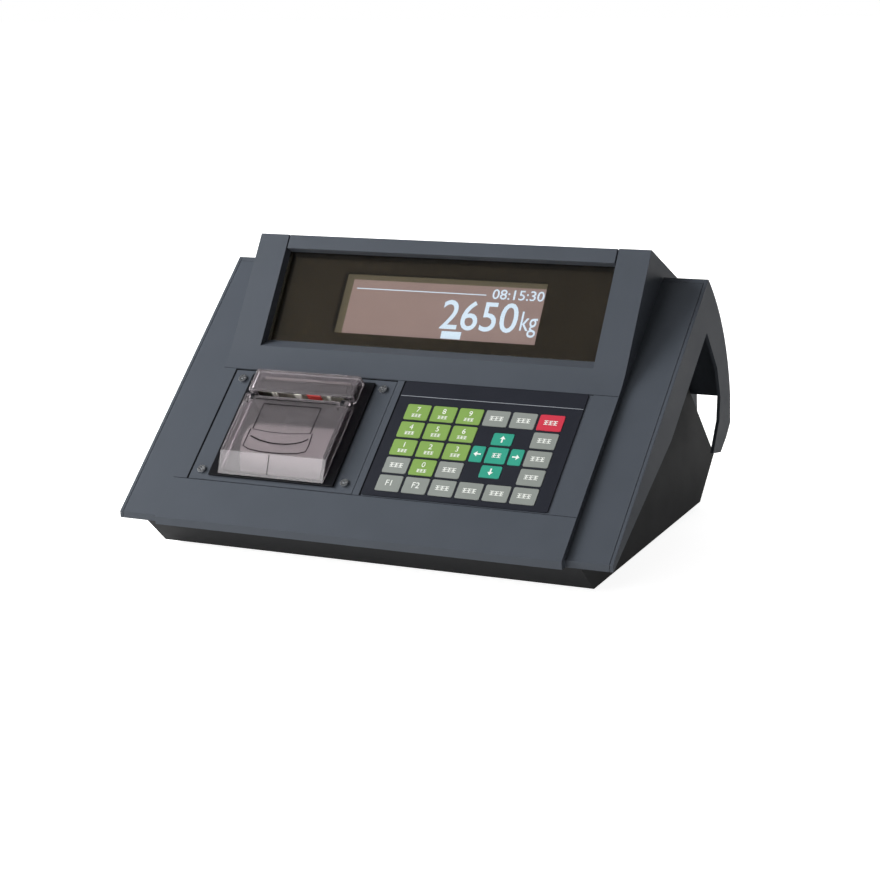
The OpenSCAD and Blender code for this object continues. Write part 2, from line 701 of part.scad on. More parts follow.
module platen_roller() color(black) at_printer() union() {
    rod_x(platen_r, -platen_w / 2, platen_w / 2, platen_u, platen_n);
    rod_x(stub_r, -post_x, post_x, platen_u, platen_n);
}
// Print head bar behind the roller, and the toothed tear bar at the slot
head_u = platen_u + platen_r + side_play;
tear_t = 0.4;
head_t = 1.6;
tooth_pitch = 2;
tooth_h = 0.8;
tear_drop = 4;
module print_head() color(steel) at_printer() {
    block([-roll_w / 2, head_u, -post_depth], [roll_w / 2, head_u + head_t, platen_n + platen_r / 2]);
    block([-well_inner, head_u, -post_depth - tray_t], [well_inner, well_u1 - tray_t, -post_depth]);
    translate([0, cover_u0, cover_top - cover_t]) rotate([90, 0, 0]) linear_extrude(height = tear_t) {
        translate([-roll_w / 2, -tear_drop]) square([roll_w, tear_drop]);
        for (x = [-roll_w / 2 : tooth_pitch : roll_w / 2 - tooth_pitch])
            polygon([[x, 0], [x + tooth_pitch, 0], [x + tooth_pitch / 2, tooth_h]]);
    }
}

// Clear covers, as outlines along and above the deck
door_u0 = rim_u + side_play * 3;
fold_len = 12;
door_low = rim_top + side_play;
door_outline = [
    [door_u0, door_low],
    [door_u0 + fold_len, cover_top],
    [hinge_u, cover_top],
    [hinge_u, door_low]];
fold_a = atan2(cover_top - door_low, fold_len);
door_hollow = [
    [door_u0 + cover_t / sin(fold_a), door_low - over],
    [door_u0 + cover_t / sin(fold_a), door_low],
    crossing([door_u0 + cover_t / sin(fold_a), door_low], fold_a, [0, cover_top - cover_t], 0),
    [hinge_u + over, cover_top - cover_t],
    [hinge_u + over, door_low - over]];
module printer_door() color(smoke) at_printer() difference() {
    union() {
        difference() {
            across(cover_w) polygon(door_outline);
            across(cover_w - 2 * cover_t) polygon(door_hollow);
            block([-far, hinge_u - hinge_r / 2, -far], [far, far, hinge_n]);
        }
        both_sides() {
            rod_x(hinge_r, post_x + side_play, cover_w / 2, hinge_u, hinge_n);
            block([post_x + side_play, hinge_u - hinge_r, hinge_n - hinge_r],
                [cover_w / 2, hinge_u, cover_top]);
        }
    }
    both_sides() {
        rod_x(stub_r + run_fit, post_x, cover_w / 2 - side_play / 2, hinge_u, hinge_n);
        block([cheek_x - side_play, hinge_u - hinge_r - side_play, hinge_n - hinge_r],
            [post_x + side_play, far, cover_top + over]);
    }
}
module printer_rear_cover() color(smoke) at_printer() difference() {
    block([-cover_w / 2, cover_u0, rim_top], [cover_w / 2, cover_u1, cover_top]);
    block([-cover_w / 2 + cover_t, cover_u0 + cover_t, rim_top - over],
        [cover_w / 2 - cover_t, cover_u1 - cover_t, cover_top - cover_t]);
    block([-well_inner, cover_u0 - over, rim_top - over],
        [well_inner, cover_u0 + 2 * cover_t, cover_top - cover_t - tear_drop]);
}

// Socket panel behind the port in the rear wall
rear_t = 1.5;
rear_face_y = rear_y - shell_t;
inlet_side = 28;
switch_step = 40;
socket_lift = 28;
inlet_x = -port_w / 2 + inlet_side;
switch_x = inlet_x + switch_step;
socket_z = port_z0 + socket_lift;
// Distances of the socket middles from the right end of the opening, and the sockets' widths
socket_sides = [96, 54, 18];
socket_xs = [for (s = socket_sides) port_w / 2 - s];
socket_ws = [40, 31, 31];
socket_h = 12.6;
socket_flange_t = 1;
socket_depth = 4.5;
socket_body_h = 9;
jack_r = 2.4;
jack_inset = 3.4;
inlet_w = 48;
inlet_h = 23;
inlet_flange_t = 3;
inlet_body_w = 27.6;
mouth_w = 24.4;
mouth_h = 16.8;
mouth_depth = 17;
inlet_wall = 2;
blade_w = 2;
blade_h = 4;
blade_gap = 7;
switch_w = 18;
switch_h = 25;
switch_flange_t = 2;
switch_depth = 12;
rocker_w = 12;
rocker_h = 18;
rocker_tilt = 7;
rocker_pin_r = 1;
pin_reach = rocker_w / 2 + inlet_wall - 2 * side_play;
module at_rear(x) in_body() translate([x, rear_face_y, socket_z]) children();

// An opening through the socket panel for a body of that width and height
module panel_hole(x, w, h) translate([x, rear_face_y - rear_t - over, socket_z])
    block([-w / 2, 0, -h / 2], [w / 2, rear_t + 2 * over, h / 2]);
module rear_panel() color(steel) in_body() difference() {
    block([-port_w / 2 - port_frame, rear_face_y - rear_t, port_z0 - port_frame],
        [port_w / 2 + port_frame, rear_face_y, port_z1 + port_frame]);
    panel_hole(inlet_x, inlet_body_w, mouth_h + 2 * inlet_wall);
    panel_hole(switch_x, rocker_w + 2 * inlet_wall, rocker_h + 2 * inlet_wall);
    for (i = [0 : len(socket_xs) - 1]) panel_hole(socket_xs[i], socket_ws[i] - 4 * jack_inset, socket_body_h);
}
// A flat socket: flange, body, flared shell and two jack nuts
module flat_socket(w) {
    block([-w / 2, 0, -socket_h / 2], [w / 2, socket_flange_t, socket_h / 2]);
    block([-w / 2 + 2 * jack_inset, -2 * socket_h / 3, -socket_body_h / 2],
        [w / 2 - 2 * jack_inset, 0, socket_body_h / 2]);
    rotate([90, 0, 180]) linear_extrude(height = socket_flange_t + socket_depth) polygon([
        [-w / 2 + 2 * jack_inset, socket_body_h / 2],
        [w / 2 - 2 * jack_inset, socket_body_h / 2],
        [w / 2 - 2 * jack_inset - socket_flange_t, -socket_body_h / 2],
        [-w / 2 + 2 * jack_inset + socket_flange_t, -socket_body_h / 2]]);
    for (i = [-1, 1]) translate([i * (w / 2 - jack_inset), 0, 0])
        rotate([-90, 0, 0]) cylinder(r = jack_r, h = socket_depth, $fn = 6);
}
module signal_sockets() color([0.6, 0.6, 0.62])
    for (i = [0 : len(socket_xs) - 1]) at_rear(socket_xs[i]) flat_socket(socket_ws[i]);

module mains_inlet() color(black) at_rear(inlet_x) difference() {
    union() {
        block([-inlet_w / 2, 0, -inlet_h / 2], [inlet_w / 2, inlet_flange_t, inlet_h / 2]);
        block([-inlet_body_w / 2, inlet_flange_t - mouth_depth - inlet_wall, -mouth_h / 2 - inlet_wall],
            [inlet_body_w / 2, 0, mouth_h / 2 + inlet_wall]);
    }
    difference() {
        block([-mouth_w / 2, inlet_flange_t - mouth_depth, -mouth_h / 2],
            [mouth_w / 2, inlet_flange_t + over, mouth_h / 2]);
        for (x = [-blade_gap, 0, blade_gap])
            block([x - blade_w / 2, -mouth_depth, -blade_h / 2],
                [x + blade_w / 2, inlet_flange_t - blade_h, blade_h / 2]);
    }
}
module switch_frame() color(black) at_rear(switch_x) difference() {
    union() {
        block([-switch_w / 2, 0, -switch_h / 2], [switch_w / 2, switch_flange_t, switch_h / 2]);
        block([-rocker_w / 2 - inlet_wall, -switch_depth, -rocker_h / 2 - inlet_wall],
            [rocker_w / 2 + inlet_wall, 0, rocker_h / 2 + inlet_wall]);
    }
    block([-rocker_w / 2 - side_play, inlet_wall - switch_depth, -rocker_h / 2 - 2 * side_play],
        [rocker_w / 2 + side_play, switch_flange_t + over, rocker_h / 2 + 2 * side_play]);
    rod_x(rocker_pin_r + run_fit, -pin_reach - side_play, pin_reach + side_play, 0, 0);
}
rocker_face_shares = [
    [0.13, -0.49],
    [0.06, 0],
    [0.13, 0.49],
    [-0.02, 0.49],
    [-0.3, 0.12],
    [-0.3, -0.12],
    [-0.02, -0.49]];
module switch_rocker() color(black) at_rear(switch_x) rotate([rocker_tilt, 0, 0]) union() {
    across(rocker_w) polygon(rocker_h * rocker_face_shares);
    rod_x(rocker_pin_r, -pin_reach, pin_reach, 0, 0);
}

// Board and power supply inside the tray
chip_t = 2.5;
plug_pitch = 28.8;
module main_board() color(board_green) in_body() difference() {
    union() {
        block([board_x0, board_y0, post_h], [board_x1, board_y1, post_h + pcb_t]);
        for (i = [1 : 3], j = [1, 2])
            translate([board_x0 + board_w * i / 4, board_y0 + board_len * j / 3, post_h + pcb_t])
                block([-2 * post_r, -2 * post_r, 0], [2 * post_r, 2 * post_r, chip_t]);
        for (i = [0 : 2])
            translate([board_x0 + 2 * post_inset + i * plug_pitch, board_y1 - 2 * post_inset, post_h + pcb_t])
                block([0, 0, 0], [inlet_h, post_inset, socket_h]);
    }
    tray_posts() cylinder(r = pilot_r, h = 2 * post_h);
}
supply_w = 80;
supply_len = 54;
supply_h = 34;
supply_behind = 38;
supply_x0 = -base_w / 2 + board_side;
supply_y1 = rear_y - supply_behind;
supply_y0 = supply_y1 - supply_len;
vent_w = 3;
vent_count = 8;
module power_supply() color(steel) in_body() difference() {
    block([supply_x0, supply_y0, tray_t], [supply_x0 + supply_w, supply_y1, tray_t + supply_h]);
    for (i = [1 : vent_count])
        translate([supply_x0 + supply_w * i / (vent_count + 1), 0, tray_t + supply_h - vent_w / 2])
            block([-vent_w / 2, supply_y0 + supply_h / 4, 0], [vent_w / 2, supply_y1 - supply_h / 4, vent_w]);
}
foot_taper = 1;
module rubber_feet() color(black) in_body() for (p = foot_spots) translate([p.x, p.y, 0]) {
    cylinder(r = foot_r, h = foot_seat);
    translate([0, 0, -foot_rise]) cylinder(r1 = foot_r - foot_taper, r2 = foot_r, h = foot_rise);
}
screw_top_z = 24;
case_head_h = 1.8;
module case_screws() color(steel) in_body() for (p = case_screw_spots)
    translate([p.x, p.y, tray_t]) difference() {
    union() {
        translate([0, 0, -case_head_h]) cylinder(r = case_head_r, h = case_head_h);
        cylinder(r = case_screw_r, h = screw_top_z - tray_t);
    }
    rotate(45) for (a = [0, 90]) rotate(a)
        block([-case_head_r / 2, -slot_w / 2, -case_head_h - over],
            [case_head_r / 2, slot_w / 2, -case_head_h / 2]);
}

base_tray();
top_shell();
side_frame_right();
side_frame_left();
hood_visor();
display_window();
lcd_bezel();
lcd_glass();
lcd_board();
insert_panel();
keypad_overlay();
dome_sheet();
key_board();
printer_plate();
printer_screws();
printer_bucket();
paper_spindle();
paper_roll();
platen_roller();
print_head();
printer_door();
printer_rear_cover();
rear_panel();
signal_sockets();
mains_inlet();
switch_frame();
switch_rocker();
main_board();
power_supply();
rubber_feet();
case_screws();
for (k = keys) key_pad(k);
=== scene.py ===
"""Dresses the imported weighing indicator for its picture.

The CAD model is loaded as a fixed frame in metres. Lengths below are millimetres in the
part's own planes: the deck, the display face and the rear wall. There x runs across the
indicator, u runs up the slope, and a height stands out of the plane.
"""
import json
import logging
from collections.abc import Iterable, Sequence
from dataclasses import dataclass
from enum import Enum
from math import cos, pi, radians, sin

import bpy
from mathutils import Matrix, Vector

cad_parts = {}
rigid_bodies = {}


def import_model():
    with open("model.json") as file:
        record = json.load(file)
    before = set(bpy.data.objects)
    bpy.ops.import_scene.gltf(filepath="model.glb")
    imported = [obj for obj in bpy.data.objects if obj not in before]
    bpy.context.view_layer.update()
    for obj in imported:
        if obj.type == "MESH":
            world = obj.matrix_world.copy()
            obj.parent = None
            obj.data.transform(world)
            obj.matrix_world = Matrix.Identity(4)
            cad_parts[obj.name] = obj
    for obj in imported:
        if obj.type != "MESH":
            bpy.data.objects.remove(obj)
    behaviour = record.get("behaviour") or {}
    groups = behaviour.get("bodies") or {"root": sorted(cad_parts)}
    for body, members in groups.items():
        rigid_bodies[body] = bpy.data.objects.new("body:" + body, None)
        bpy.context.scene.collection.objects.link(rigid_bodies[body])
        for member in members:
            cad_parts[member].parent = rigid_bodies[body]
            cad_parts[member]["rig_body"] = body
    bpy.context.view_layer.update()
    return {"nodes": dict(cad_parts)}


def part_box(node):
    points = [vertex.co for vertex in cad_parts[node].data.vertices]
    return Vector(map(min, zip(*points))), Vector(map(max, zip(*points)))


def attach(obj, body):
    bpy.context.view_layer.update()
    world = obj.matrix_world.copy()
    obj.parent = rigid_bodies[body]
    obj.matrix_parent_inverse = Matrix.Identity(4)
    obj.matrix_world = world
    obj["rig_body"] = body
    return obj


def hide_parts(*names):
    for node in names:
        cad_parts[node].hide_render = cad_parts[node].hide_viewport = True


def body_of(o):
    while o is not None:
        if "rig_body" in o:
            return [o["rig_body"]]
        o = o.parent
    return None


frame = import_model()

LOG = logging.getLogger("weighing_indicator")
MM = 0.001
# Colour sockets of a Mix node, whose names its other sockets share
MIX_SHARE, MIX_FIRST, MIX_SECOND, MIX_RESULT = 0, 6, 7, 2

Piece = bpy.types.Object
Tree = bpy.types.NodeTree
Node = bpy.types.Node
Socket = bpy.types.NodeSocket
Point = tuple[float, float]
Vec3 = tuple[float, float, float]


class Slot(Enum):
    """The record's material slots."""

    SHELL = "shell_plastic"
    TRAY = "tray_plastic"
    WINDOW = "window_acrylic"


@dataclass(frozen=True)
class Plane:
    """A flat working plane of the case, turned about the x axis."""

    y: float
    z: float
    slope: float

    def matrix(self) -> Matrix:
        """The turn, shift and scale from the plane's millimetres to the frame's metres."""
        place = Matrix.Translation((0.0, self.y * MM, self.z * MM))
        return place @ Matrix.Rotation(radians(self.slope), 4, "X") @ Matrix.Scale(MM, 4)

    def along(self, y: float, z: float) -> float:
        """How far up the slope a point lies."""
        a = radians(self.slope)
        return (y - self.y) * cos(a) + (z - self.z) * sin(a)

    def raised(self, along: float, height: float, turn: float) -> "Plane":
        """A plane that starts at a place on this one and is turned further.

        Args:
            along: The length up the slope.
            height: The height above it.
            turn: The further turn in degrees.

        Returns:
            The new plane.
        """
        a = radians(self.slope)
        y = self.y + along * cos(a) - height * sin(a)
        z = self.z + along * sin(a) + height * cos(a)
        return Plane(y, z, self.slope + turn)


DECK = Plane(y=-99.4457, z=23.6, slope=38.85)
FACE = Plane(y=-12.7337, z=97.68, slope=54.5)
# Upright: u runs up, and the height runs into the case
REAR = Plane(y=97.5533, z=65.0, slope=90.0)


@dataclass(frozen=True)
class Writing:
    """A short plain text: digits, a unit or a generic mark."""

    name: str
    text: str
    height: float
    middle: Point
    # A share of the letters' usual width, and how far their strokes are widened
    narrow: float = 1.0
    bold: float = 0.0


class Bench:
    """The modelling steps that the pieces share, each done with Blender's operators."""

    # Edges that turn by more degrees are rounded, and faces that meet at less are shaded as one
    EDGE = 30.0
    SMOOTH = 32.0
    LETTER_STEPS = 4

    @staticmethod
    def deselect() -> None:
        """Leaves nothing selected, because an operator acts on all that is selected."""
        if bpy.context.mode != "OBJECT":
            bpy.ops.object.mode_set(mode="OBJECT")
        bpy.ops.object.select_all(action="DESELECT")

    @staticmethod
    def take(piece: Piece) -> None:
        """Selects one piece and makes it the active one.

        Args:
            piece: The piece.
        """
        Bench.deselect()
        piece.select_set(True)
        bpy.context.view_layer.objects.active = piece

    @staticmethod
    def apply_place(piece: Piece) -> None:
        """Moves the piece's place, turn and scale into its mesh."""
        Bench.take(piece)
        bpy.ops.object.transform_apply(location=True, rotation=True, scale=True)

    @staticmethod
    def box(name: str, low: Point, high: Point, base: float, height: float) -> Piece:
        """Adds a box, as a start for a piece.

        Args:
            name: The piece's name.
            low: Its lowest x and u.
            high: Its highest x and u.
            base: The height of its underside.
            height: Its thickness.

        Returns:
            The box, with its place in its mesh.
        """
        Bench.deselect()
        corners = list(zip((*low, base), (*high, base + height)))
        bpy.ops.mesh.primitive_cube_add(size=1.0, location=[(a + b) / 2 for a, b in corners])
        piece = bpy.context.object
        piece.name = name
        piece.scale = [b - a for a, b in corners]
        Bench.apply_place(piece)
        return piece

    @staticmethod
    def rod(name: str, radius: float, length: float, at: Vec3, sides: int) -> Piece:
        """Adds a round rod that stands on the plane.

        Args:
            name: The piece's name.
            radius: Its radius.
            length: Its length.
            at: Its middle.
            sides: How many sides its outline has.

        Returns:
            The rod, with its place in its mesh.
        """
        Bench.deselect()
        bpy.ops.mesh.primitive_cylinder_add(
            vertices=sides, radius=radius, depth=length, location=at)
        piece = bpy.context.object
        piece.name = name
        Bench.apply_place(piece)
        return piece

    @staticmethod
    def plate(name: str, outline: Iterable[Point], base: float, height: float) -> Piece:
        """Extrudes a flat outline into a plate.

        Args:
            name: The piece's name.
            outline: Its corners in order, as x and u.
            base: The height of its underside.
            height: Its thickness.

        Returns:
            The plate.
        """
        Bench.deselect()
        corners = [(x, u, base) for x, u in outline]
        mesh = bpy.data.meshes.new(name)
        mesh.from_pydata(corners, [], [list(range(len(corners)))])
        piece = bpy.data.objects.new(name, mesh)
        bpy.context.scene.collection.objects.link(piece)
        Bench.take(piece)
        bpy.ops.object.mode_set(mode="EDIT")
        bpy.ops.mesh.select_all(action="SELECT")
        bpy.ops.mesh.extrude_region_move(TRANSFORM_OT_translate={"value": (0.0, 0.0, height)})
        bpy.ops.mesh.select_all(action="SELECT")
        bpy.ops.mesh.normals_make_consistent(inside=False)
        bpy.ops.object.mode_set(mode="OBJECT")
        return piece

    @staticmethod
    def ribbon(name: str, points: Sequence[Point], width: float, base: float,
               height: float) -> Piece:
        """Extrudes a line of some width into a narrow plate.

        Args:
            name: The piece's name.
            points: The line's points, as x and u.
            width: The line's width.
            base: The height of its underside.
            height: Its thickness.

        Returns:
            The plate.
        """
        left, right = [], []
        last = len(points) - 1
        for i, point in enumerate(points):
            before, after = Vector(points[max(i - 1, 0)]), Vector(points[min(i + 1, last)])
            along = (after - before).normalized()
            side = Vector((-along.y, along.x)) * (width / 2)
            left.append(tuple(Vector(point) + side))
            right.append(tuple(Vector(point) - side))
        return Bench.plate(name, left + right[::-1], base, height)

    @staticmethod
    def bevel(piece: Piece, width: float, segments: int, sharper_than: float = EDGE) -> None:
        """Rounds the piece's edges and smooths its shading, keeping flat faces flat.

        Args:
            piece: The piece.
            width: The rounding's width, in the piece's own unit.
            segments: Steps across the rounding.
            sharper_than: Edges that turn by more degrees than this are rounded.
        """
        Bench.take(piece)
        rounding = piece.modifiers.new("rounding", "BEVEL")
        rounding.width = width
        rounding.segments = segments
        rounding.limit_method = "ANGLE"
        rounding.angle_limit = radians(sharper_than)
        rounding.miter_outer = "MITER_ARC"
        bpy.ops.object.modifier_apply(modifier=rounding.name)
        bpy.ops.object.shade_smooth_by_angle(angle=radians(Bench.SMOOTH))
        even = piece.modifiers.new("even_faces", "WEIGHTED_NORMAL")
        even.keep_sharp = True
        bpy.ops.object.modifier_apply(modifier=even.name)

    @staticmethod
    def cut(piece: Piece, tool: Piece) -> None:
        """Cuts the tool's shape out of the piece and removes the tool.

        Args:
            piece: The piece.
            tool: A closed shape.
        """
        Bench.take(piece)
        cutter = piece.modifiers.new("cut", "BOOLEAN")
        cutter.operation = "DIFFERENCE"
        cutter.solver = "EXACT"
        cutter.object = tool
        bpy.ops.object.modifier_apply(modifier=cutter.name)
        bpy.data.objects.remove(tool, do_unlink=True)

    @staticmethod
    def join(name: str, pieces: Sequence[Piece]) -> Piece:
        """Joins several meshes into one piece.

        Args:
            name: The joined piece's name.
            pieces: The meshes.

        Returns:
            The joined piece.
        """
        Bench.deselect()
        for piece in pieces:
            piece.select_set(True)
        bpy.context.view_layer.objects.active = pieces[0]
        bpy.ops.object.join()
        pieces[0].name = name
        return pieces[0]

    @staticmethod
    def words(writing: Writing, base: float, depth: float) -> Piece:
        """Sets a plain text as a thin raised mesh.

        Args:
            writing: The text, its size and its place.
            base: The height of its underside.
            depth: Its thickness.

        Returns:
            The text as a mesh, with its place in it.
        """
        Bench.deselect()
        bpy.ops.object.text_add(location=(0.0, 0.0, 0.0))
        piece = bpy.context.object
        piece.name = writing.name
        piece.data.body = writing.text
        piece.data.size = writing.height
        piece.data.align_x = "CENTER"
        piece.data.align_y = "CENTER"
        piece.data.extrude = depth / 2
        piece.data.offset = writing.bold
        piece.data.resolution_u = Bench.LETTER_STEPS
        bpy.ops.object.convert(target="MESH")
        piece = bpy.context.object
        piece.scale = (writing.narrow, 1.0, 1.0)
        piece.location = (*writing.middle, base + depth / 2)
        Bench.apply_place(piece)
        return piece

    @staticmethod
    def settle(piece: Piece, plane: Plane, finish: "Finish", rounding: float = 0.0,
               body: str = "case", steps: int = 2) -> None:
        """Rounds a finished piece and puts it in its place on the object.

        Args:
            piece: A piece in the plane's millimetres.
            plane: The plane that it was modelled in.
            finish: What it is made of.
            rounding: The width of its edges' rounding, or zero for none.
            body: The CAD body that it rides on.
            steps: Steps across the rounding.
        """
        if rounding:
            Bench.bevel(piece, rounding, steps)
        piece.data.transform(plane.matrix())
        piece.data.update()
        Bench.dress(piece, body, finish)

    @staticmethod
    def dress(piece: Piece, body: str, finish: "Finish", *nodes: str) -> None:
        """Gives a piece its material and body, and says so in the log.

        Args:
            piece: The piece in its place.
            body: The CAD body that it rides on.
            finish: What it is made of.
            nodes: The CAD nodes that it stands for.
        """
        piece.data.materials.clear()
        piece.data.materials.append(finish.material())
        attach(piece, body)
        if nodes:
            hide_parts(*nodes)
        faces = len(piece.data.polygons)
        LOG.info("%s: %d faces, %s, on %s", piece.name, faces, finish.name, body)


def linear(colour: str) -> tuple[float, float, float, float]:
    """Turns an sRGB hex colour to the linear values that a shader takes.

    Args:
        colour: Six hex digits after a hash.

    Returns:
        Red, green, blue and one.
    """
    parts = [int(colour[i:i + 2], 16) / 255 for i in (1, 3, 5)]
    red, green, blue = (p / 12.92 if p <= 0.04045 else ((p + 0.055) / 1.055) ** 2.4 for p in parts)
    return red, green, blue, 1.0


def add_node(tree: Tree, kind: str, values: dict[str | int, object] | None = None,
             links: dict[str | int, Socket] | None = None, **settings: object) -> Node:
    """Adds a node with its settings, its input values and its links.

    Args:
        tree: The material's nodes.
        kind: The node's type.
        values: Values of its inputs, by name or number.
        links: Sockets that feed its inputs, by name or number.
        settings: The node's own properties.

    Returns:
        The node.
    """
    node = tree.nodes.new(kind)
    for name, value in settings.items():
        setattr(node, name, value)
    for name, value in (values or {}).items():
        node.inputs[name].default_value = value
    for name, socket in (links or {}).items():
        tree.links.new(socket, node.inputs[name])
    return node


@dataclass(frozen=True)
class Making:
    """A material in the making: its nodes, its shader and the piece's place in millimetres."""

    tree: Tree
    shader: Node
    where: Socket


@dataclass(frozen=True)
class Finish:
    """What a piece is made of: a shader with a pattern in the piece's own millimetres.

    Its colour and gloss drift in clouds, and its grain stands up by the relief. Cloud and
    grain are real sizes, and shine is the strength of its mirror gloss.
    """

    name: str
    colour: str
    second: str
    slot: Slot = Slot.TRAY
    roughness: float = 0.5
    drift: float = 0.06
    grain: float = 0.8
    relief: float = 0.03
    relief_share: float = 0.6
    grain_detail: float = 2.0
    cloud: float = 22.0
    cloud_detail: float = 4.0
    ior: float = 1.5
    shine: float = 0.5

    def material(self) -> bpy.types.Material:
        """The Blender material, made once and then shared."""
        ready = bpy.data.materials.get(self.name)
        return ready if ready else self.build()

    def build(self) -> bpy.types.Material:
        """Makes the material: clouded colour, uneven gloss and a fine relief.

        Returns:
            The material.
        """
        material = bpy.data.materials.new(self.name)
        material.use_nodes = True
        tree = material.node_tree
        tree.nodes.clear()
        shader = add_node(tree, "ShaderNodeBsdfPrincipled", {
            "Roughness": self.roughness, "IOR": self.ior, "Specular IOR Level": self.shine})
        add_node(tree, "ShaderNodeOutputMaterial", links={"Surface": shader.outputs["BSDF"]})
        place = add_node(tree, "ShaderNodeTexCoord")
        scaled = add_node(tree, "ShaderNodeMapping", {"Scale": (1 / MM, 1 / MM, 1 / MM)},
                          {"Vector": place.outputs["Object"]})
        self.pattern(Making(tree, shader, scaled.outputs["Vector"]))
        self.special(shader)
        return material

    def pattern(self, to: Making) -> None:
        """Lays the colour, gloss and relief over the surface."""
        self.clouds(to)
        self.grains(to)

    def clouds(self, to: Making) -> None:
        """Two close colours in soft clouds, and a little difference in gloss.

        Args:
            to: The material in the making.
        """
        cloud = add_node(to.tree, "ShaderNodeTexNoise", {
            "Scale": 1 / self.cloud, "Detail": self.cloud_detail},
            {"Vector": to.where}).outputs["Fac"]
        mix = add_node(to.tree, "ShaderNodeMix", {
            MIX_FIRST: linear(self.colour), MIX_SECOND: linear(self.second)},
            {MIX_SHARE: cloud}, data_type="RGBA")
        to.tree.links.new(mix.outputs[MIX_RESULT], to.shader.inputs["Base Color"])
        gloss = add_node(to.tree, "ShaderNodeMapRange", {
            "To Min": self.roughness - self.drift, "To Max": self.roughness + self.drift},
            {"Value": cloud})
        to.tree.links.new(gloss.outputs["Result"], to.shader.inputs["Roughness"])

    def grains(self, to: Making) -> None:
        """The fine relief that the mould or the machine left.

        Args:
            to: The material in the making.
        """
        grain = add_node(to.tree, "ShaderNodeTexNoise", {
            "Scale": 1 / self.grain, "Detail": self.grain_detail}, {"Vector": to.where})
        bump = add_node(to.tree, "ShaderNodeBump", {
            "Strength": self.relief_share, "Distance": self.relief * MM},
            {"Height": grain.outputs["Fac"]})
        to.tree.links.new(bump.outputs["Normal"], to.shader.inputs["Normal"])

    def special(self, shader: Node) -> None:
        """Sets what this kind of material has beside colour and gloss."""


@dataclass(frozen=True)
class Clear(Finish):
    """A clear or tinted moulding that light passes through."""

    passing: float = 1.0

    def special(self, shader: Node) -> None:
        """Lets light through."""
        shader.inputs["Transmission Weight"].default_value = self.passing


@dataclass(frozen=True)
class Metal(Finish):
    """A bare or plated metal, with the marks of its finishing drawn out along x."""

    stretch: float = 12.0

    def grains(self, to: Making) -> None:
        """Fine marks, long along x and short across it."""
        drawn = add_node(to.tree, "ShaderNodeMapping", {"Scale": (1 / self.stretch, 1.0, 1.0)},
                         {"Vector": to.where})
        super().grains(Making(to.tree, to.shader, drawn.outputs["Vector"]))

    def special(self, shader: Node) -> None:
        """Makes it a metal."""
        shader.inputs["Metallic"].default_value = 1.0


@dataclass(frozen=True)
class Glow(Finish):
    """A lit part of the display."""

    light: float = 0.5

    def special(self, shader: Node) -> None:
        """Gives it the display's own even light."""
        shader.inputs["Emission Color"].default_value = linear(self.colour)
        shader.inputs["Emission Strength"].default_value = self.light


@dataclass(frozen=True)
class Laminate(Finish):
    """A circuit board: solder mask over copper tracks."""

    track: float = 1.6

    def pattern(self, to: Making) -> None:
        """Square cells of two greens, as tracks and bare board look under the mask.

        Args:
            to: The material in the making.
        """
        cells = add_node(to.tree, "ShaderNodeTexVoronoi", {"Scale": 1 / self.track},
                         {"Vector": to.where}, distance="MANHATTAN")
        mix = add_node(to.tree, "ShaderNodeMix", {
            MIX_FIRST: linear(self.colour), MIX_SECOND: linear(self.second)},
            {MIX_SHARE: cells.outputs["Distance"]}, data_type="RGBA")
        to.tree.links.new(mix.outputs[MIX_RESULT], to.shader.inputs["Base Color"])
        self.grains(to)


@dataclass(frozen=True)
class KeyTop(Finish):
    """A printed key top under the keypad's film."""

    roughness: float = 0.38
    grain: float = 0.6
    relief: float = 0.012


